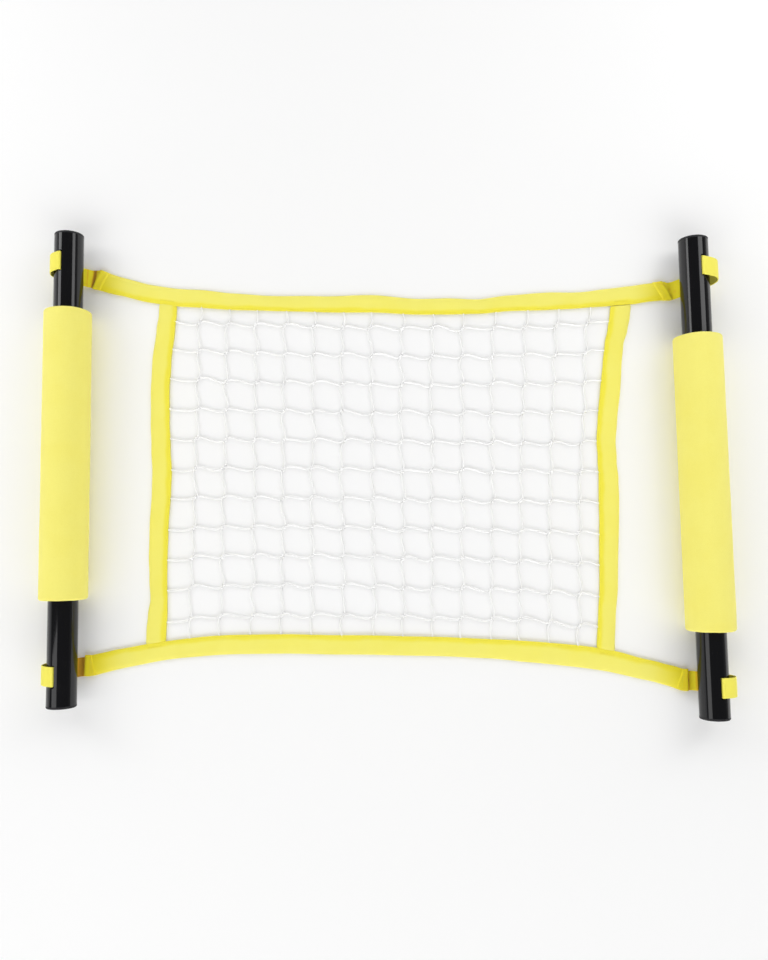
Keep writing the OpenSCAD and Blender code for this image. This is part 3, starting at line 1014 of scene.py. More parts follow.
@dataclass
class Stitches:
    """Stitches collected for one piece of sewing.

    Attributes:
        laid: Middle, direction and length of each stitch, in millimetres.
    """

    laid: list[tuple[Array, Array, float]] = field(default_factory=list)

    def line(self, path: Array, pitch: float = 3.0, fill: float = 0.78) -> None:
        """Adds a row of stitches along a path.

        Args:
            path: Points of the seam.
            pitch: Distance from stitch to stitch.
            fill: Share of the pitch that a stitch shows.
        """
        along = measured(path)
        count = max(1, int(along[-1] / pitch))
        marks = (np.arange(count) + 0.5) * along[-1] / count
        tips = at_marks(np.minimum(marks + 0.2, along[-1]), along, path)
        lies = tips - at_marks(np.maximum(marks - 0.2, 0.0), along, path)
        for middle, lie in zip(at_marks(marks, along, path), lies):
            self.laid.append((middle, lie / np.linalg.norm(lie), along[-1] / count * fill))

    def zigzag(
        self, surface: Surface, start: float, end: float, band: tuple[float, float], pitch: float = 0.7
    ) -> None:
        """Adds a bar tack: close stitches to and fro across a short stretch.

        Args:
            surface: The sewn surface, from distance along and across to a point.
            start: Distance along where the tack starts.
            end: Distance along where it ends.
            band: Its two edges, across.
            pitch: Distance from one stitch to the next.
        """
        count = max(2, int(abs(end - start) / pitch))
        marks = np.linspace(start, end, count + 1)
        for i in range(count):
            a, b = surface(marks[i], band[(i + 1) % 2]), surface(marks[i + 1], band[i % 2])
            length = float(np.linalg.norm(b - a))
            self.laid.append(((a + b) / 2, (b - a) / length, length))

    def sew(self, name: str, tree: StitchTree, material: Material, width: float = 0.42, seed: int = 3) -> Piece:
        """Makes the thread of all the stitches.

        Args:
            name: The piece's name.
            tree: The tree that lays the thread.
            material: The thread's material.
            width: Width of the thread in millimetres.
            seed: Seed of the unevenness.

        Returns:
            The piece.
        """
        middles, lies, lengths = zip(*self.laid)
        piece = mesh_object(name, middles)
        store(piece, "lie", lies)
        store(piece, "length", np.array(lengths, np.float32) * MM)
        return tree.run(piece, {"Thread width": width * MM, "Unevenness": 0.06, "Seed": seed, "Material": material})


# ---------------------------------------------------------------- the tapes


@dataclass(frozen=True)
class Bends:
    """How far a tape's edges stray outwards from its even line, in millimetres.

    Attributes:
        places: Places along the tape, as x of the top and bottom tape and as y of a side tape.
        inner: Straying of the inner edge at each place.
        outer: Straying of the outer edge at each place.
    """

    places: tuple[float, ...]
    inner: tuple[float, ...]
    outer: tuple[float, ...]

    def lines(self, at: Array) -> list[Array]:
        """Finds how the tape's edges stray.

        Args:
            at: The places asked for.

        Returns:
            The straying of the inner and of the outer edge at each of them.
        """
        marks = np.array(self.places)
        step = np.clip(np.searchsorted(marks, at) - 1, 0, len(marks) - 2)
        share = smooth((at - marks[step]) / (marks[step + 1] - marks[step]))
        edges = (np.array(self.inner), np.array(self.outer))
        return [lerp(edge[step], edge[step + 1], share) for edge in edges]


EDGE_BENDS = {
    Edge.TOP: Bends(
        (-312, -298, -276, -252, -226, -196, -160, -122, -70, -13, 43, 72, 104, 139, 180, 221, 248, 272, 290, 312),
        (-1.8, -0.6, 1.0, 0.0, -0.1, 1.0, 0.2, 1.1, 1.2, 2.0, 0.3, 0.0, 0.6, 2.7, 1.6, 0.8, 0.1, 0.1, 1.4, 0.9),
        (0.8, 0.5, 0.7, -0.4, -0.5, 0.8, -1.5, -2.3, -1.1, 1.3,
         -2.3, -2.0, -3.4, 0.0, 0.9, -1.6, -0.6, 0.4, 1.3, 1.3),
    ),
    Edge.BOTTOM: Bends(
        (-312, -290, -262, -226, -190, 110, 150, 208, 242, 262, 286, 302, 312),
        (-2.4, -1.4, -0.2, -0.1, -0.2, 0.0, 0.4, 0.2, 0.2, 1.0, 0.0, -1.4, -2.2),
        (-0.8, -0.7, -0.1, -0.8, 0.0, 0.0, 2.2, 2.9, 2.5, 2.3, 1.0, 0.3, 0.3),
    ),
}
SIDE_BENDS = {
    Side.LEFT: Bends(
        (-165, -148, -133, -110, -85, -55, -18, 0, 30, 60, 96, 120, 160, 175, 200),
        (-1.2, -1.6, -1.0, -0.1, 0.2, 0.2, -1.9, -2.2, 0.3, 2.3, 4.0, 3.2, 0.0, -1.1, -1.0),
        (0.1, -0.7, -2.6, -1.0, 0.3, 0.6, -1.2, -1.0, 1.2, 2.9, 4.5, 4.1, 0.4, -1.4, -2.0),
    ),
    Side.RIGHT: Bends(
        (-190, -156, -124, -60, -30, -12, 10, 30, 50, 85, 112, 134, 150, 165, 190),
        (2.0, 3.5, 4.4, 3.4, 2.5, 2.2, 0.3, -1.7, -1.3, -0.4, 0.6, 1.8, 4.2, 5.2, 5.4),
        (0.9, 2.0, 3.9, 4.2, 4.2, 3.3, 0.6, -1.2, -0.4, 1.1, 0.9, 1.9, 5.4, 7.2, 7.8),
    ),
}


def lifted(surface: Surface, lift: float) -> Surface:
    """A sewn surface, raised a little for thread."""
    return lambda distance, across: surface(distance, across) + np.array([0.0, 0.0, lift])


@dataclass
class Tape:
    """A folded binding tape laid along a line, with its surface known at every place.

    Attributes:
        plan: The object's plan.
        path: Middle line, in millimetres.
        inward: 1 where the net lies on the left of the path's direction, otherwise -1.
        entries: Distances along the path where cords of the net enter.
        bends: How its edges stray.
        axis: Coordinate that the places of the bends count along.
        seed: Phase of the tape's slight waves.
        slants: How far its two ends run on along it, for each millimetre outwards.
        crown: Height of the tape's thickest place.
    """

    plan: NetPlan
    path: Array
    inward: int
    entries: Array
    bends: Bends
    axis: int
    seed: float
    slants: tuple[float, float] = (0.0, 0.0)
    crown: float = 3.3

    SLANT_REACH = 14.0
    SWELL, SWELL_REACH, SWELL_WIDTH = 0.16, 8.0, 3.2
    PINCH, PINCH_REACH = 0.22, 2.2
    ROUNDED, ROUNDED_REACH = 0.5, 1.5
    END_MARKS, END_STRETCH = (0.0, 0.35, 0.8, 1.4), 2.4
    SEAM_LIFT, UNDER_LIFT = 0.06, 0.02
    # Size, length and turn of the slight waves, in height and sideways.
    HEIGHT_WAVES = ((0.045, 23.0, 1.0), (0.035, 9.1, 2.7))
    SIDE_WAVES = ((0.28, 31.0, 1.3), (0.16, 12.7, 1.0))
    MIDDLE, FULLEST = 0.4, 1.03

    SECTION_TOP = (
        (0.00, 0.62), (0.25, 0.76), (0.9, 0.80), (1.6, 0.75), (2.4, 0.84), (4.2, 0.93), (7.0, 0.985), (10.0, 1.0),
        (13.0, 0.985), (15.8, 0.94), (17.8, 0.85), (19.1, 0.70), (19.8, 0.52),
    )
    SECTION_BOTTOM = (
        (20.0, 0.36), (19.6, 0.18), (18.4, 0.085), (15.0, 0.045), (10.0, 0.03), (5.0, 0.045), (2.4, 0.075),
        (1.6, 0.10), (0.8, 0.075), (0.1, 0.10), (0.0, 0.24), (1.3, 0.30), (1.5, 0.42), (1.3, 0.56),
    )

    def __post_init__(self) -> None:
        """Measures the path and its bends."""
        self.along = measured(self.path)
        self.aim = directions(self.path)
        self.strays = self.bends.lines(self.path[:, self.axis])

    @property
    def length(self) -> float:
        """Length of the tape."""
        return float(self.along[-1])

    def frame_at(self, distance: float) -> tuple[Array, Array]:
        """Finds the tape's frame at a distance along it, also a little past its ends.

        Args:
            distance: Distance along the tape.

        Returns:
            The point of the middle line and the direction from the inner to the outer edge.
        """
        middle, aim = (at_marks(distance, self.along, line) for line in (self.path, self.aim))
        aim = aim / np.linalg.norm(aim)
        past = distance - np.clip(distance, 0.0, self.length)
        return middle + aim * past, np.array([aim[1], -aim[0]]) * self.inward

    def stray(self, distance: float, across: float) -> float:
        """How far a place strays outwards from the tape's even line."""
        inner, outer = (float(np.interp(distance, self.along, line)) for line in self.strays)
        return lerp(inner, outer, across / self.plan.tape_width)

    def waves(self, kind: Sequence[tuple[float, float, float]], distance: float) -> float:
        """Adds up the waves of one kind at a distance along the tape."""
        return sum(size * math.sin(distance / length + turn * self.seed) for size, length, turn in kind)

    def swell(self, distance: float, across: float) -> float:
        """How far the top leaf rises over entering cords, as a share of the crown."""
        near = np.exp(-(((self.entries - distance) / self.SWELL_WIDTH) ** 2)).sum()
        return float(self.SWELL * near * (1 - smooth(across / self.SWELL_REACH)))

    def height(self, distance: float, across: float, share: float) -> float:
        """Height of the skin at a place.

        Args:
            distance: Distance along the tape.
            across: Distance from its inner edge.
            share: Height of the section there, as a share of the crown.

        Returns:
            The height above the ground.
        """
        wave = self.waves(self.HEIGHT_WAVES, distance)
        puff = 1.0 + (wave + self.swell(distance, across)) * smooth((share - 0.3) / 0.4)
        end = min(distance, self.length - distance)
        pinch = 1.0 - self.PINCH * (1 - smooth(end / self.PINCH_REACH))
        return self.crown * (self.MIDDLE + (min(share * puff, self.FULLEST) - self.MIDDLE) * pinch)

    def skin(self, distance: float, across: float, share: float) -> Array:
        """A point of the skin.

        Args:
            distance: Distance along the tape.
            across: Distance from its inner edge.
            share: Height of the section there, as a share of the crown.

        Returns:
            The point, in millimetres.
        """
        middle, outwards = self.frame_at(distance)
        wobble = self.waves(self.SIDE_WAVES, distance)
        rounded = self.ROUNDED * (1 - smooth(min(distance, self.length - distance) / self.ROUNDED_REACH))
        half = self.plan.tape_width / 2
        offset = (across - half) * (1 - rounded / half) + wobble + self.stray(distance, across)
        near = [1 - smooth(end / self.SLANT_REACH) for end in (distance, self.length - distance)]
        slant = (self.slants[0] * near[0] + self.slants[1] * near[1]) * (across - half)
        place = middle + outwards * offset + np.array([-outwards[1], outwards[0]]) * self.inward * slant
        return np.array([place[0], place[1], self.height(distance, across, share)])

    def top(self, distance: float, across: float) -> Array:
        """A point of the upper surface."""
        return self.skin(distance, across, float(np.interp(across, *np.array(self.SECTION_TOP).T)))

    def under(self, distance: float, across: float) -> Array:
        """A point of the lower surface."""
        return self.skin(distance, across, float(np.interp(across, *np.array(self.SECTION_BOTTOM[9::-1]).T)))

    def build(self, name: str, step: float = 2.0) -> Piece:
        """Makes the tape's mesh.

        Args:
            name: The piece's name.
            step: Distance between its sections.

        Returns:
            The piece.
        """
        ends, clear = np.array(self.END_MARKS), self.END_STRETCH
        inner = np.linspace(clear, self.length - clear, max(3, int((self.length - 2 * clear) / step)))
        marks = np.concatenate([ends, inner, self.length - ends[::-1]])
        section = [*self.SECTION_TOP, *self.SECTION_BOTTOM]
        rings = np.array([[self.skin(mark, across, share) for across, share in section] for mark in marks])
        flat = np.array([[across, share * self.crown] for across, share in [*section, section[0]]])
        return loft(name, rings, marks, measured(flat))

    def seam(self, across: float, start: float, end: float, under: bool = False) -> Array:
        """A stitching line along the tape, a little above its surface.

        Args:
            across: Distance from the inner edge.
            start: Distance along where it starts.
            end: Distance along where it ends.
            under: Whether it lies on the lower surface.

        Returns:
            The points of the line.
        """
        surface = lifted(self.under, self.UNDER_LIFT) if under else lifted(self.top, self.SEAM_LIFT)
        return np.array([surface(mark, across) for mark in np.arange(start, end, 1.0)])


@dataclass(frozen=True)
class Crease:
    """Painted shade of a crease across the webbing beside a pole, in millimetres and degrees.

    Attributes:
        reach: Distance from the pole's axis at the middle of the webbing.
        width: Half of the crease's width.
        lean: Turn of the crease from square.
        depth: How deep its painted shade is, from 0 to 1.
    """

    reach: float
    width: float
    lean: float
    depth: float


@dataclass(frozen=True)
class CornerLook:
    """How the webbing lies at one corner, in millimetres and degrees.

    Attributes:
        reach: Distance from the pole's axis to the folded end of the tape.
        fold: Length of tape that is turned back on itself.
        skew: Turn of the folded end from square.
        bulge: How far the strap stands off the pole's outer side.
        creases: Painted shade of the creases of the strap and of the folded end.
    """

    reach: float
    fold: float
    skew: float
    bulge: float
    creases: tuple[Crease, ...] = ()

    def shade(self, inwards: float, up: float) -> float:
        """How deep the painted crease shade is at a place.

        Args:
            inwards: Its distance from the pole's axis.
            up: Its distance from the middle of the webbing, along the pole.

        Returns:
            The depth, from 0 to 1.
        """
        shade_depths = [0.0]
        for crease in self.creases:
            off = (inwards - crease.reach - up * math.tan(math.radians(crease.lean))) / crease.width
            shade_depths.append(crease.depth * math.exp(-(off**4)))
        return max(shade_depths)


LOOKS = {
    (Side.LEFT, Edge.TOP): CornerLook(
        22.2, 9.0, 8.0, 2.5, (Crease(18.8, 2.0, 8.4, 0.78), Crease(12.2, 0.9, 2.0, 0.30))
    ),
    (Side.LEFT, Edge.BOTTOM): CornerLook(
        15.6, 9.5, 0.0, 3.5, (Crease(11.0, 4.0, 2.0, 0.72), Crease(22.5, 3.5, 0.0, 0.12))
    ),
    (Side.RIGHT, Edge.TOP): CornerLook(22.0, 10.0, 24.0, 7.0, (Crease(16.2, 1.6, 50.0, 0.22),)),
    (Side.RIGHT, Edge.BOTTOM): CornerLook(
        18.2, 9.0, 0.0, 5.5, (Crease(17.0, 1.1, 0.0, 0.50), Crease(8.0, 2.4, 0.0, 0.45), Crease(20.6, 2.4, 0.0, 0.14))
    ),
}


class TapeBorder:
    """The four tapes round the net, their turned-back ends and their sewing, with sizes in millimetres."""

    STITCH_ACROSS = 1.6
    EDGE_SEAM_MARGIN = 14.0
    SIDE_SEAM_MARGIN = 1.5
    SIDE_TUCK = 0.2
    TACK_HALF = 7.5
    TACK_BAND = (3.2, 5.4)
    CREST = 4.55
    FOLD_PROFILE = (
        (-0.55, -2.3), (-0.90, -1.5), (-0.80, -0.70), (-0.35, -0.10), (0.5, 0.28), (1.6, 0.45), (2.9, 0.36),
        (4.3, 0.08), (5.6, 0.0),
    )
    BOX_START, BOX_MARGIN, BOX_SIDE = 5.0, 1.8, 2.4

    def __init__(self, plan: NetPlan, finishes: Finishes, stitches: StitchTree) -> None:
        """Lays out the tapes.

        Args:
            plan: The object's plan.
            finishes: The materials.
            stitches: The tree that lays thread.
        """
        self.plan = plan
        self.finishes = finishes
        self.stitch_tree = stitches
        self.edges = {edge: self.edge_tape(edge) for edge in Edge}
        self.sides = {side: self.side_tape(side) for side in Side}

    def edge_tape(self, edge: Edge) -> Tape:
        """Lays out the top or bottom tape, from the left pole to the right one.

        Args:
            edge: Which tape.

        Returns:
            The tape.
        """
        plan = self.plan
        ends = [side.value * (plan.pole_spacing / 2 - LOOKS[side, edge].reach) for side in Side]
        x = np.linspace(ends[0], ends[1], 260)
        path = np.stack([x, plan.tape_y(edge, x)], axis=1)
        y = float(plan.tape_line(edge, 0.0, 0.0))
        cords = [plan.cord_x(side, column, y) * side.value for side in Side for column in range(plan.columns(side))]
        entries = np.interp(np.sort(np.array(cords)), x, measured(path))
        return Tape(plan, path, -edge.value, entries, EDGE_BENDS[edge], 0, 0.9 + edge.value)

    def side_tape(self, side: Side) -> Tape:
        """Lays out a side tape, from the bottom tape to the top one.

        Args:
            side: Which tape.

        Returns:
            The tape.
        """
        plan, half = self.plan, self.plan.tape_width / 2
        ends = []
        for edge in (Edge.BOTTOM, Edge.TOP):
            station = edge.value * plan.tape_station
            strays = [float(line[0]) for line in SIDE_BENDS[side].lines(np.array([station]))]
            cross = side.value * (plan.side_line(side, station, half) + sum(strays) / 2)
            ends.append(float(plan.tape_line(edge, cross, self.SIDE_TUCK)))
        y = np.linspace(ends[0], ends[1], 160)
        path = np.stack([side.value * plan.side_line(side, y, half), y], axis=1)
        x = side.value * plan.side_line(side, 0.0, half)
        cords = [float(plan.cord_y(row, x)) for row in range(1, plan.rows + 1)]
        entries = np.interp(np.array(cords), y, measured(path))
        aims = directions(path)
        slants = (self.slant(side, Edge.BOTTOM, path[0], aims[0]), self.slant(side, Edge.TOP, path[-1], aims[-1]))
        return Tape(plan, path, side.value, entries, SIDE_BENDS[side], 1, 2.4 + side.value, slants)

    def slant(self, side: Side, edge: Edge, place: Array, aim: Array) -> float:
        """Slant that lays a side tape's end along the edge tape.

        Args:
            side: The side tape.
            edge: The edge tape that its end meets.
            place: Where its middle line ends.
            aim: Direction of the middle line there.

        Returns:
            How far the end runs on for each millimetre outwards.
        """
        slope = float(self.plan.tape_y(edge, place[0] + 0.5) - self.plan.tape_y(edge, place[0] - 0.5))
        outwards = np.array([aim[1], -aim[0]]) * side.value
        return float((slope * outwards[0] - outwards[1]) / (aim[1] - slope * aim[0]))

    def seams(self, tape: Tape, margin: float) -> Stitches:
        """Lays the long seam of a tape on its upper and its lower surface.

        Args:
            tape: The tape.
            margin: Distance from its ends that stays free.

        Returns:
            The stitches.
        """
        sewing = Stitches()
        for under in (False, True):
            sewing.line(tape.seam(self.STITCH_ACROSS, margin, tape.length - margin, under))
        return sewing

    def sew(self, name: str, sewing: Stitches) -> Piece:
        """Makes sewn thread."""
        return sewing.sew(name, self.stitch_tree, self.finishes.thread)

    def build_edge(self, edge: Edge) -> None:
        """Makes the top or bottom tape with its long seams, each in one piece across the fold.

        Args:
            edge: Which tape.
        """
        tape = self.edges[edge]
        piece = dress(tape.build(f"{edge.word}_tape"), self.finishes.webbing)
        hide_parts(f"{edge.word}_tape_left", f"{edge.word}_tape_right")
        for made in (piece, self.sew(f"{edge.word}_tape_seam", self.seams(tape, self.EDGE_SEAM_MARGIN))):
            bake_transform(made)

    def build_side(self, side: Side) -> None:
        """Makes a side tape with its seams, and the tacks that hold it to the other tapes.

        Args:
            side: Which tape.
        """
        tape = self.sides[side]
        piece = dress(tape.build(f"{side.word}_binding"), self.finishes.webbing)
        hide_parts(f"{side.word}_side_tape")
        sewing = self.seams(tape, self.SIDE_SEAM_MARGIN)
        for edge, other in self.edges.items():
            cross = tape.top(tape.length if edge is Edge.TOP else 0.0, self.plan.tape_width / 2)[0]
            mark = float(np.interp(cross, other.path[:, 0], other.along))
            sewing.zigzag(lifted(other.top, 0.08), mark - self.TACK_HALF, mark + self.TACK_HALF, self.TACK_BAND)
        for made in (piece, self.sew(f"{side.word}_binding_seam", sewing)):
            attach(made, f"net_{side.word}")

    def fold_surface(self, side: Side, edge: Edge) -> Surface:
        """Finds the upper surface of a turned-back end.

        Args:
            side: Left or right end.
            edge: Which tape.

        Returns:
            The surface, from distance inwards and distance across to a point.
        """
        tape, look, half = self.edges[edge], LOOKS[side, edge], self.plan.tape_width / 2
        lean = math.tan(math.radians(look.skew))

        def surface(inwards: float, across: float) -> Array:
            """Finds a point of the turned-back end's upper surface.

            Args:
                inwards: Distance from the end of the fold.
                across: Distance from the tape's inner edge.

            Returns:
                The point.
            """
            slide = inwards + (across - half) * lean
            distance = slide if side is Side.LEFT else tape.length - slide
            middle, outwards = tape.frame_at(distance)
            place = middle + outwards * (across - half + tape.stray(distance, across))
            crown = self.CREST - 0.35 * smooth(inwards / 3.0) + 0.12 * math.sin(across * 0.55 + tape.seed)
            edge_drop = 0.5 * (1 - smooth(min(across, 2 * half - across) / 1.6))
            return np.array([place[0], place[1], crown - edge_drop])

        return surface

    def build_fold(self, side: Side, edge: Edge) -> None:
        """Makes the turned-back end of a tape and the boxed stitching that holds the strap in it.

        Args:
            side: Left or right end.
            edge: Which tape.
        """
        look, width, name = LOOKS[side, edge], self.plan.tape_width, f"{side.word}_{edge.height}_tape_end"
        surface = self.fold_surface(side, edge)
        end = look.fold
        profile = [*self.FOLD_PROFILE, (end - 2.6, -0.10), (end - 1.2, -0.42), (end, -0.90), (end, -1.2), (4.0, -1.5),
                   (1.0, -2.4)]
        across = np.concatenate([[0.0, 0.25], np.linspace(1.0, width - 1.0, 13), [width - 0.25, width]])
        rings = np.array([[surface(inwards, v) + np.array([0, 0, low]) for inwards, low in profile] for v in across])
        piece = loft(name, rings, across, measured(np.array([*profile, profile[0]])))
        self.swap_uv(piece)
        dress(piece, self.finishes.webbing_end)
        # Painted shade: each point of the turned-back end stores how deep the crease shade painted there is.
        places = [(look.reach + inwards, (v - width / 2) * edge.value) for v in across for inwards, _ in profile]
        store(piece, CREASE_SHADE_NAME, [look.shade(*place) for place in places])
        thread = lifted(surface, 0.07)
        near, far, low, high = self.BOX_START, end - self.BOX_MARGIN, self.BOX_SIDE, width - self.BOX_SIDE
        box = [(near, low), (far, low), (far, high), (near, high), (near, low)]
        sewing = Stitches()
        for (a, b), (c, d) in (*zip(box, box[1:]), (box[0], box[2]), (box[3], box[1])):
            line = [thread(lerp(a, c, t), lerp(b, d, t)) for t in np.linspace(0.0, 1.0, 12)]
            sewing.line(np.array(line), pitch=1.9)
        for made in (piece, self.sew(f"{name}_stitching", sewing)):
            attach(made, f"net_{side.word}")

    @staticmethod
    def swap_uv(piece: Piece) -> None:
        """Exchanges the two directions of a piece's UV map.

        Args:
            piece: The piece.
        """
        layer = piece.data.uv_layers[UV_NAME]
        flat = np.zeros(len(layer.data) * 2, np.float32)
        layer.data.foreach_get("uv", flat)
        layer.data.foreach_set("uv", flat.reshape(-1, 2)[:, ::-1].ravel())

    def build(self) -> None:
        """Makes all the tapes."""
        for edge in Edge:
            self.build_edge(edge)
        for side in Side:
            self.build_side(side)
        for side, edge in LOOKS:
            self.build_fold(side, edge)
        LOG.info("tapes: 4 tapes with seams and 4 turned-back ends")


# ---------------------------------------------------------------- the net


@dataclass
class TwineLines:
    """Lines of twine collected for one piece.

    Attributes:
        points: Points of all the lines, in millimetres.
        thick: Share of the full section at each point.
        links: Pairs of neighbouring points.
    """

    points: list[Array] = field(default_factory=list)
    thick: list[float] = field(default_factory=list)
    links: list[tuple[int, int]] = field(default_factory=list)

    def add(self, path: Array) -> None:
        """Adds one line, its two tips drawn to a point.

        Args:
            path: Points of the line.
        """
        first = len(self.points)
        tips = np.vstack([path[0] - 0.05 * (path[1] - path[0]), path, path[-1] + 0.05 * (path[-1] - path[-2])])
        self.points.extend(tips)
        self.thick.extend([0.01, *[1.0] * len(path), 0.01])
        self.links.extend((i, i + 1) for i in range(first, len(self.points) - 1))

    def make(self, name: str, tree: TwineTree, radius: float, material: Material) -> Piece:
        """Makes the twine.

        Args:
            name: The piece's name.
            tree: The tree that sweeps the section.
            radius: Radius of the twine in millimetres.
            material: The twine's material.

        Returns:
            The piece.
        """
        piece = mesh_object(name, np.array(self.points), links=self.links)
        store(piece, "thick", self.thick)
        return tree.run(piece, {"Radius": radius * MM, "Material": material})


@dataclass(frozen=True)
class Lead:
    """Where a length of twine leaves a knot or a hem, and the direction in which it leaves."""

    place: Array
    way: Array


class KnottedNet:
    """The square net: knots, and the twine that swings from one to the next, with sizes in millimetres."""

    TWINE_RADIUS = 0.78
    KNOT_RADIUS = 0.73
    LEAD = (1.05, 2.25)
    LEAN = (0.62, 0.78)
    CURL = (3.0, 8.5)
    DRIFT = 0.5
    RISE = (-0.15, 0.35)
    HIDDEN = 7.5
    STEPS = 14
    KNOT_TURN = math.radians(45.0)
    KNOT_SPREAD = 0.10
    KNOT_SIZES = (0.94, 1.08)
    BIGHT = (
        (-3.1, 0.95, 0.0), (-2.0, 0.85, 0.0), (-0.9, 0.62, -0.05), (0.5, 0.72, 0.1), (1.35, 0.0, 0.2),
        (0.5, -0.72, 0.1), (-0.9, -0.62, -0.05), (-2.0, -0.85, 0.0), (-3.1, -0.95, 0.0),
    )
    NECK_TURN = (
        (3.1, 0.95, 0.0), (2.0, 0.9, 0.05), (1.0, 1.05, 0.3), (0.15, 0.75, 0.85), (-0.35, -0.5, 0.9),
        (-0.45, -1.35, 0.1), (-0.1, -0.8, -0.8), (0.1, 0.7, -0.8), (0.3, 1.3, -0.1), (0.75, 0.55, 0.8),
        (1.05, -0.45, 0.7), (2.0, -0.9, 0.05), (3.1, -0.95, 0.0),
    )

    def __init__(self, plan: NetPlan, finishes: Finishes) -> None:
        """Prepares the trees and the random draws.

        Args:
            plan: The object's plan.
            finishes: The materials.
        """
        self.plan = plan
        self.finishes = finishes
        self.twine = TwineTree()
        self.knots = KnotTree()
        self.draw = np.random.default_rng(11)

    def knot_shape(self) -> Piece:
        """The tied knot at the origin: a bight along the X axis and a turn round its neck.

        Returns:
            The knot's object, which is removed once the knots are placed.
        """
        lines = TwineLines()
        for path in (self.BIGHT, self.NECK_TURN):
            lines.add(np.array(path))
        return lines.make("knot_pattern", self.twine, self.KNOT_RADIUS, self.finishes.cord)

    def swing(self, start: Lead, end: Lead) -> Array:
        """Twine from one knot to the next, curling out of the first and into the second.

        Args:
            start: Where and in which direction it leaves the first knot.
            end: The same for the second knot.

        Returns:
            The points of the twine.
        """
        share = np.linspace(0.0, 1.0, self.STEPS)[:, None]
        first, last = (lead.place + lead.way * self.draw.uniform(*self.CURL) for lead in (start, end))
        line = (
            (1 - share) ** 3 * start.place + 3 * (1 - share) ** 2 * share * first
            + 3 * (1 - share) * share**2 * last + share**3 * end.place
        )
        drift = [self.draw.normal(0.0, self.DRIFT), self.draw.normal(0.0, self.DRIFT), self.draw.uniform(*self.RISE)]
        return line + np.array(drift) * np.sin(np.pi * share)

    def leads(self, knot: Array) -> dict[str, Lead]:
        """Finds where the four lengths of twine leave a knot.

        Args:
            knot: The knot's place.

        Returns:
            The leads, by the way in which they go.
        """
        near, far = self.LEAD
        little, much = self.LEAN
        steps = {
            "up": (near, far, little, much), "down": (-near, -far, -little, -much),
            "right": (far, near, much, little), "left": (-far, -near, -much, -little),
        }
        return {
            word: Lead(knot + np.array([x, y, 0.0]), np.array([dx, dy, 0.0]))
            for word, (x, y, dx, dy) in steps.items()
        }

    def cord(self, lines: TwineLines, knots: Sequence[Array], hems: Sequence[Lead], ways: tuple[str, str]) -> None:
        """Adds the twine of one cord, from hem to knot to knot to hem.

        Args:
            lines: Where the twine is collected.
            knots: The knots along the cord.
            hems: The leads of its first and its last end.
            ways: How it leaves a knot for the next one, and how it leaves that one backwards.
        """
        starts = [hems[0], *[self.leads(knot)[ways[0]] for knot in knots]]
        ends = [*[self.leads(knot)[ways[1]] for knot in knots], hems[1]]
        for start, end in zip(starts, ends):
            lines.add(self.swing(start, end))

    def uprights(self, side: Side) -> TwineLines:
        """Lays the upright twine of one half of the net.

        Args:
            side: Half of the net.

        Returns:
            The twine.
        """
        plan, lines = self.plan, TwineLines()
        for column in range(plan.columns(side)):
            hems = []
            for edge in (Edge.BOTTOM, Edge.TOP):
                x = side.value * plan.cord_x(side, column, edge.value * plan.tape_station)
                inside = np.array([x, float(plan.tape_line(edge, x, self.HIDDEN)), plan.net_height])
                hems.append(Lead(inside, np.array([0.0, -0.5 * edge.value, 0.0])))
            knots = [plan.knot(side, column, row) for row in range(1, plan.rows + 1)]
            self.cord(lines, knots, hems, ("up", "down"))
        return lines

    def levels(self) -> TwineLines:
        """Lays the level twine of the whole net, across the fold.

        Returns:
            The twine.
        """
        plan, lines = self.plan, TwineLines()
        for row in range(1, plan.rows + 1):
            hems, halves = [], []
            for side in Side:
                knots = [plan.knot(side, column, row) for column in range(plan.columns(side))]
                y = float(plan.cord_y(row, side.value * plan.side_line(side, knots[-1][1], self.HIDDEN)))
                inside = np.array([side.value * plan.side_line(side, y, self.HIDDEN), y, plan.net_height])
                hems.append(Lead(inside, np.array([-0.5 * side.value, 0.0, 0.0])))
                halves.append(knots)
            self.cord(lines, [*reversed(halves[0]), *halves[1]], hems, ("right", "left"))
        return lines

    def place_knots(self, side: Side, pattern: Piece) -> Piece:
        """Puts the knots of one half of the net on its crossings.

        Args:
            side: Half of the net.
            pattern: The tied knot.

        Returns:
            The piece.
        """
        rows = range(1, self.plan.rows + 1)
        crossings = [self.plan.knot(side, column, row) for column in range(self.plan.columns(side)) for row in rows]
        piece = mesh_object(f"{side.word}_net_knots", np.array(crossings))
        store(piece, "turn", self.KNOT_TURN + self.draw.normal(0.0, self.KNOT_SPREAD, len(crossings)))
        store(piece, "roll", self.draw.normal(0.0, self.KNOT_SPREAD, len(crossings)))
        store(piece, "size", self.draw.uniform(*self.KNOT_SIZES, len(crossings)))
        return self.knots.run(piece, {"Knot": pattern, "Material": self.finishes.cord})

    def build(self) -> None:
        """Makes the twine and the knots of both halves."""
        plan, cord, pattern = self.plan, self.finishes.cord, self.knot_shape()
        for side in Side:
            body = f"net_{side.word}"
            upright = self.uprights(side).make(f"{side.word}_net_uprights", self.twine, self.TWINE_RADIUS, cord)
            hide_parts(body)
            for piece in (upright, self.place_knots(side, pattern)):
                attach(piece, body)
        level = self.levels().make("net_levels", self.twine, self.TWINE_RADIUS, cord)
        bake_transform(level)
        bpy.data.objects.remove(pattern, do_unlink=True)
        LOG.info("net: %d rows, %d and %d columns", plan.rows, plan.columns(Side.LEFT), plan.columns(Side.RIGHT))


# ---------------------------------------------------------------- the straps


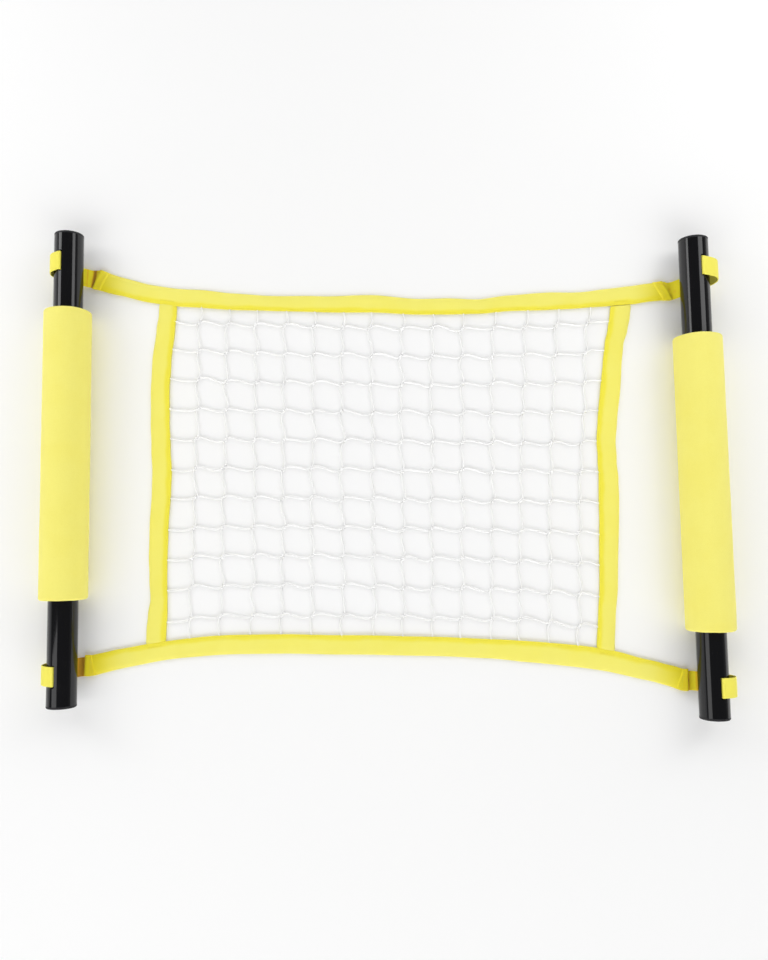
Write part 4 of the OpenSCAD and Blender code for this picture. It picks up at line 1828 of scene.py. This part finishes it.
@dataclass
class PoleStrap:
    """One strap: sewn round a stop rod in the tube, out of the slot, round the pole and into the tape's end.

    Attributes:
        plan: The object's plan.
        side: The pole.
        edge: The upper or lower strap.
        look: How the webbing lies at this corner.
        thickness: Thickness of the webbing, in millimetres.
        slot_angle: Turn of the slot from the pole's outer side, in degrees.
        stop_radius: Radius of the stop rod.
        gap: Room between the strap and the tube.
        bulge_span: Turn over which the strap stands off the pole.
    """

    plan: NetPlan
    side: Side
    edge: Edge
    look: CornerLook
    thickness: float = 1.2
    slot_angle: float = 76.0
    stop_radius: float = 2.5
    gap: float = 0.3
    bulge_span: float = 108.0

    TAIL = 8.0
    # Height below the pole's axis where painted crease shade starts on the strap, and the distance over which it
    # fades in.
    CREASED_BELOW, CREASE_FADE = -12.0, 4.0
    BLEND_INNER, BLEND_UNDER = 3.0, 1.0
    SECTION = (
        (-10.0, 0.0), (-9.75, 0.42), (-9.1, 0.58), (-8.2, 0.50), (-6.0, 0.56), (-2.0, 0.6), (2.0, 0.6), (6.0, 0.56),
        (8.2, 0.50), (9.1, 0.58), (9.75, 0.42), (10.0, 0.0), (9.75, -0.42), (9.1, -0.58), (8.2, -0.5), (4.0, -0.58),
        (-4.0, -0.58), (-8.2, -0.5), (-9.1, -0.58), (-9.75, -0.42),
    )

    @staticmethod
    def polar(radius: float, degrees: float) -> Array:
        """A point round the pole's axis: out from the object is -X, up is +Z."""
        turn = math.radians(degrees)
        return np.array([-radius * math.cos(turn), radius * math.sin(turn)])

    def route(self) -> Array:
        """The strap's line round the pole, seen along the pole.

        Returns:
            Distance inwards and height of each point, from the pole's axis, in millimetres.
        """
        bore = self.plan.pole_radius - self.plan.tube_wall
        middle = self.plan.pole_radius + self.gap + self.thickness / 2
        loop = self.stop_radius + 0.1 + self.thickness / 2
        reach = bore - self.gap - loop - self.thickness / 2
        out, up = self.polar(1.0, self.slot_angle), self.polar(1.0, self.slot_angle + 90.0)
        centre = math.sqrt(reach**2 - loop**2) * out + loop * up
        points = []
        for degrees in range(300, -1, -20):
            turn = math.radians(degrees)
            points.append(centre + loop * (-up * math.cos(turn) - out * math.sin(turn)))
        points += [self.polar(bore, self.slot_angle), self.polar(self.plan.pole_radius - 0.2, self.slot_angle)]
        points.append(self.polar(self.plan.pole_radius + self.thickness * 0.55, self.slot_angle - 0.8))
        for degrees in np.arange(self.slot_angle - 6.0, -86.0, -4.0):
            share = min((self.slot_angle - degrees) / self.bulge_span, 1.0)
            points.append(self.polar(middle + self.look.bulge * math.sin(math.pi * share) ** 2, degrees))
        dip_x, dip_z = self.look.reach - 3.2, -self.plan.axis_height + 1.3
        for x in np.linspace(0.0, dip_x, 9):
            points.append(np.array([x, lerp(-middle, dip_z, smooth((x - 1.0) / (dip_x - 1.0)))]))
        for x, rise in ((1.6, 0.15), (3.4, 0.5), (5.5, 0.6), (8.5, 0.6)):
            points.append(np.array([dip_x + x, dip_z + rise]))
        return resampled(np.array(points), 1.1)

    def build(self, finishes: Finishes) -> Piece:
        """Makes the strap, from its stop rod round the pole into the tape's end.

        Args:
            finishes: The materials.

        Returns:
            The piece.
        """
        route = self.route()
        along = measured(route)
        aim = directions(route)
        square = np.stack([-aim[:, 1], aim[:, 0]], axis=1)
        off = np.abs(np.linalg.norm(route, axis=1) - self.plan.pole_radius)
        slot_at = along[int(np.argmin(off + (route[:, 1] < 0) * 99.0))]
        share = np.clip((along - slot_at) / (along[-1] - self.TAIL - slot_at), 0.0, 1.0)
        axis_x, slot_y = self.side.value * self.plan.pole_spacing / 2, self.plan.slot_y(self.side, self.edge)
        tape_end = self.plan.tape_y(self.edge, self.side.value * (self.plan.pole_spacing / 2 - self.look.reach))
        shift = -self.edge.value * abs(slot_y - float(tape_end)) * share
        rings = np.zeros((len(route), len(self.SECTION), 3))
        shade_depths = np.zeros(rings.shape[:2])
        for i in range(len(route)):
            for k, (v, h) in enumerate(self.SECTION):
                x, z = route[i] + square[i] * h
                # Painted shade: crease shade is stored on the strap's low part, more than 12 mm below the pole's
                # axis.
                shade_depths[i, k] = self.look.shade(x, v) * smooth((self.CREASED_BELOW - z) / self.CREASE_FADE)
                rings[i, k] = (axis_x - self.side.value * x, slot_y + shift[i] + v, self.plan.axis_height + z)
        corner = f"{self.side.word}_{self.edge.height}_strap"
        piece = loft(f"{corner}_webbing", rings, along, measured(np.array([*self.SECTION, self.SECTION[0]])))
        store(piece, CREASE_SHADE_NAME, shade_depths.ravel())
        dress(piece, finishes.strap)
        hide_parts(corner, f"{corner}_root")
        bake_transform(piece)
        return piece


# ---------------------------------------------------------------- poles and grips


@dataclass
class FoamGrip:
    """A foam sleeve: turned soft shoulders, slightly uneven walls and an open bore.

    Attributes:
        side: The pole.
        length: Length of the sleeve, in millimetres.
        radius: Outer radius.
        bore: Inner radius.
        shoulder: Rounding of the outer ends.
        middle: Place of the sleeve's middle along its pole.
        slack: How far its wall lies inside the outer radius.
        segments: Number of its outlines round the pole.
    """

    side: Side
    length: float = 304.0
    radius: float = 25.0
    bore: float = 15.35
    shoulder: float = 2.8
    middle: float = 0.0
    slack: float = 0.2
    segments: int = 144

    LUMP, SMALL_LUMP, PUFF = 0.22, 0.10, 0.25
    HARD_SKIN, SOFT_DEPTH = 1.0, 4.0
    PUFF_REACH = 4
    SPREAD, LENGTH_SPREAD, SIDE_SHIFT = 0.9, 0.035, 3.0

    def profile(self) -> Array:
        """Draws the closed outline of the wall.

        Returns:
            Distance along and radius of each point.
        """
        half, r, s = self.length / 2, self.radius, self.shoulder
        outer = [(y, r) for y in np.linspace(-half + s, half - s, 90)]
        far = [(half - s + s * math.sin(a), r - s + s * math.cos(a)) for a in np.linspace(0.15, math.pi / 2, 7)]
        face = [(half - 0.15, rr) for rr in np.linspace(r - s - 1.0, self.bore + 1.2, 5)]
        lip = [(half - 0.5, self.bore + 0.3), (half - 1.2, self.bore)]
        end = [*far, *face, *lip]
        inner = [(y, self.bore) for y in np.linspace(half - 6.0, -half + 6.0, 12)]
        mirrored = [(-y, rr) for y, rr in reversed(end)]
        return np.array([*outer, *end, *inner, *mirrored])

    def build(self, plan: NetPlan, finishes: Finishes) -> Piece:
        """Makes the sleeve.

        Args:
            plan: The object's plan.
            finishes: The materials.

        Returns:
            The piece.
        """
        outline, side = self.profile(), self.side.value
        rings = np.zeros((self.segments, len(outline), 3))
        centre = np.array([side * plan.pole_spacing / 2, plan.pole_y(self.side) + self.middle, plan.axis_height])
        for i in range(self.segments):
            turn = 2 * math.pi * i / self.segments
            out = np.array([math.cos(turn), 0.0, math.sin(turn)])
            for k, (y, radius) in enumerate(outline):
                level = out[0] * self.SPREAD + side * self.SIDE_SHIFT
                spot = Vector((level, y * self.LENGTH_SPREAD, out[2] * self.SPREAD))
                lump = noise.noise(spot) * self.LUMP + noise.noise(spot * 4.0) * self.SMALL_LUMP
                soft = smooth((radius - self.bore - self.HARD_SKIN) / self.SOFT_DEPTH)
                reach = radius + min(lump - self.slack, 0.0) * soft
                puff = self.PUFF * soft * noise.noise(spot * 2.0) * (abs(y) > self.length / 2 - self.PUFF_REACH)
                rings[i, k] = centre + out * reach + np.array([0.0, y + puff, 0.0])
        piece = dress(self.skin(rings), finishes.foam)
        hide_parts(f"{self.side.word}_grip")
        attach(piece, f"{self.side.word}_grip")
        return piece

    def skin(self, rings: Array) -> Piece:
        """Joins the outlines into one closed ring.

        Args:
            rings: Points as outlines by points by three, in millimetres.

        Returns:
            The piece.
        """
        count, sides = rings.shape[:2]
        faces = []
        for i in range(count):
            here, there = i * sides, (i + 1) % count * sides
            faces += [(here + k, here + (k + 1) % sides, there + (k + 1) % sides, there + k) for k in range(sides)]
        piece = mesh_object(f"{self.side.word}_foam_grip", rings.reshape(-1, 3), faces)
        face_outwards(piece)
        return piece


@dataclass
class HandPole:
    """A pole: its tube, caps and stops with their finishes, its foam grip and its two straps.

    Attributes:
        plan: The object's plan.
        side: Left or right.
        grip_at: Place of the grip's middle along the pole, in millimetres.
        grip_slack: How far the grip's wall lies inside its outer radius.
    """

    plan: NetPlan
    side: Side
    grip_at: float
    grip_slack: float

    def dress_nodes(self, finishes: Finishes) -> None:
        """Gives the tube, caps and stops their materials.

        Args:
            finishes: The materials.
        """
        parts = {f"{self.side.word}_tube": finishes.tube}
        for edge in Edge:
            parts[f"{self.side.word}_{edge.height}_cap"] = finishes.cap
            parts[f"{self.side.word}_{edge.height}_stop"] = finishes.rod
        for node, material in parts.items():
            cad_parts[node].material_slots[0].material = material

    def build(self, finishes: Finishes) -> None:
        """Makes everything that the pole carries.

        Args:
            finishes: The materials.
        """
        self.dress_nodes(finishes)
        FoamGrip(self.side, middle=self.grip_at, slack=self.grip_slack).build(self.plan, finishes)
        for edge in Edge:
            PoleStrap(self.plan, self.side, edge, LOOKS[self.side, edge]).build(finishes)
        LOG.info("%s pole: tube, caps, stops, foam grip and two straps", self.side.word)


# ---------------------------------------------------------------- stage


@dataclass(frozen=True)
class Lamp:
    """A rectangular soft light.

    Attributes:
        name: Its name.
        place: Where it hangs, in metres.
        aim: What it points at.
        size: Its width and length.
        power: Its power in watts.
    """

    name: str
    place: tuple[float, float, float]
    aim: tuple[float, float, float]
    size: tuple[float, float]
    power: float

    def hang(self) -> None:
        """Adds the light to the scene, unseen by the camera."""
        data = bpy.data.lights.new(self.name, "AREA")
        data.shape = "RECTANGLE"
        data.size, data.size_y = self.size
        data.energy = self.power
        lamp = bpy.data.objects.new(self.name, data)
        bpy.context.scene.collection.objects.link(lamp)
        lamp.location = self.place
        lamp.rotation_euler = (Vector(self.place) - Vector(self.aim)).to_track_quat("Z", "Y").to_euler()
        lamp.visible_camera = False


class Studio:
    """Floor, lights, surroundings and camera."""

    CAMERA_PLACE = (0.01476, -0.07930, 0.86658)
    CAMERA_TURN = (4.624, 0.965, -0.845)
    FOCAL_PIXELS = 812.28
    LONG_SIDE_PIXELS = 960.0
    SENSOR = 36.0
    FLOOR_HALF = 3.0
    FLOOR_DROP = 0.00005
    FLOOR_GLOW = 0.05
    HORIZON_GLOW = 0.75
    WALL_GLOW = 1.42
    AMBIENT = 0.12

    def floor(self) -> None:
        """Adds the pale floor."""
        half, low = self.FLOOR_HALF / MM, -self.FLOOR_DROP / MM
        corners = np.array([[-half, -half, low], [half, -half, low], [half, half, low], [-half, half, low]])
        floor = mesh_object("studio_floor", corners, [(0, 1, 2, 3)], smooth_faces=False)
        graph = MaterialGraph("Pale studio floor")
        tone = graph.noise(graph.place(), 3.0, 2.0)
        rays = graph.add("ShaderNodeLightPath").outputs
        mirrored = graph.math("MAXIMUM", rays["Is Glossy Ray"], rays["Is Transmission Ray"])
        seen = graph.math("MAXIMUM", rays["Is Camera Ray"], mirrored)
        floor.data.materials.append(graph.dress(
            Specular_IOR_Level=0.0,
            Base_Color=graph.mix(tone, (0.926, 0.926, 0.926, 1.0), (0.936, 0.935, 0.933, 1.0)),
            Roughness=0.9,
            Emission_Color=WHITE,
            Emission_Strength=graph.times(seen, self.FLOOR_GLOW),
        ))

    def surroundings(self) -> None:
        """Gives the world pale walls above and below the net and a pale horizon, under a dark ceiling."""
        world = bpy.data.worlds.new("Soft studio")
        bpy.context.scene.world = world
        world.use_nodes = True
        graph = Graph(world.node_tree)
        way = graph.parts(graph.add("ShaderNodeTexCoord").outputs["Generated"])
        low = graph.span(way[2], 0.10, 0.30, self.HORIZON_GLOW, 0.0)
        horizon = graph.times(low, graph.span(way[0], -0.2, 0.3, 1.0, 0.2))
        walls = graph.span(graph.math("ABSOLUTE", way[1]), 0.40, 0.60, 0.0, self.WALL_GLOW)
        background = world.node_tree.nodes["Background"].inputs
        graph.feed(background["Color"], WHITE)
        graph.feed(background["Strength"], graph.math("ADD", graph.math("MAXIMUM", horizon, walls), self.AMBIENT))

    def lamps(self) -> None:
        """Hangs the lights."""
        for lamp in (
            Lamp("left_strip", (-1.03, 0.57, 0.58), (-0.20, 0.57, 0.0), (0.45, 0.42), 2.06),
            Lamp("left_panel", (-1.06, -0.55, 1.07), (-0.20, -0.45, 0.0), (0.50, 0.90), 2.40),
            Lamp("right_strip", (0.84, 0.58, 0.72), (0.24, 0.58, 0.0), (0.50, 0.55), 2.30),
            Lamp("bottom_fill", (0.0, -1.60, 1.25), (0.0, 0.0, 0.0), (2.40, 1.00), 7.2),
            Lamp("corner_fill", (1.00, -1.20, 0.90), (0.20, -0.20, 0.0), (0.80, 0.80), 1.6),
        ):
            lamp.hang()

    def camera(self) -> None:
        """Adds the camera."""
        data = bpy.data.cameras.new("view")
        data.sensor_width = self.SENSOR
        data.lens = self.FOCAL_PIXELS / self.LONG_SIDE_PIXELS * self.SENSOR
        data.clip_start, data.clip_end = 0.01, 50.0
        camera = bpy.data.objects.new("view", data)
        bpy.context.scene.collection.objects.link(camera)
        pitch, yaw, roll = (math.radians(angle) for angle in self.CAMERA_TURN)
        turn = Matrix.Rotation(roll, 4, "Z") @ Matrix.Rotation(yaw, 4, "Y") @ Matrix.Rotation(pitch, 4, "X")
        camera.matrix_world = Matrix.Translation(self.CAMERA_PLACE) @ turn
        bpy.context.scene.camera = camera

    def build(self) -> None:
        """Makes the whole stage."""
        self.camera()
        self.floor()
        self.surroundings()
        self.lamps()
        bpy.context.scene.view_settings.view_transform = "Standard"
        LOG.info("studio: camera, floor, surroundings and lights")


def main() -> None:
    """Builds the stage and the object in order."""
    logging.basicConfig(level=logging.INFO, format="%(name)s: %(message)s")
    # Blender offsets its vector noise by the clock unless a seed is set, and the knots' strays come from it.
    noise.seed_set(STRAY_SEED)
    Studio().build()
    plan = NetPlan()
    finishes = Finishes()
    TapeBorder(plan, finishes, StitchTree()).build()
    KnottedNet(plan, finishes).build()
    for side, grip_at, grip_slack in ((Side.LEFT, 12.5, 0.8), (Side.RIGHT, -8.5, 0.4)):
        HandPole(plan, side, grip_at, grip_slack).build(finishes)


if __name__ == "__main__":
    main()
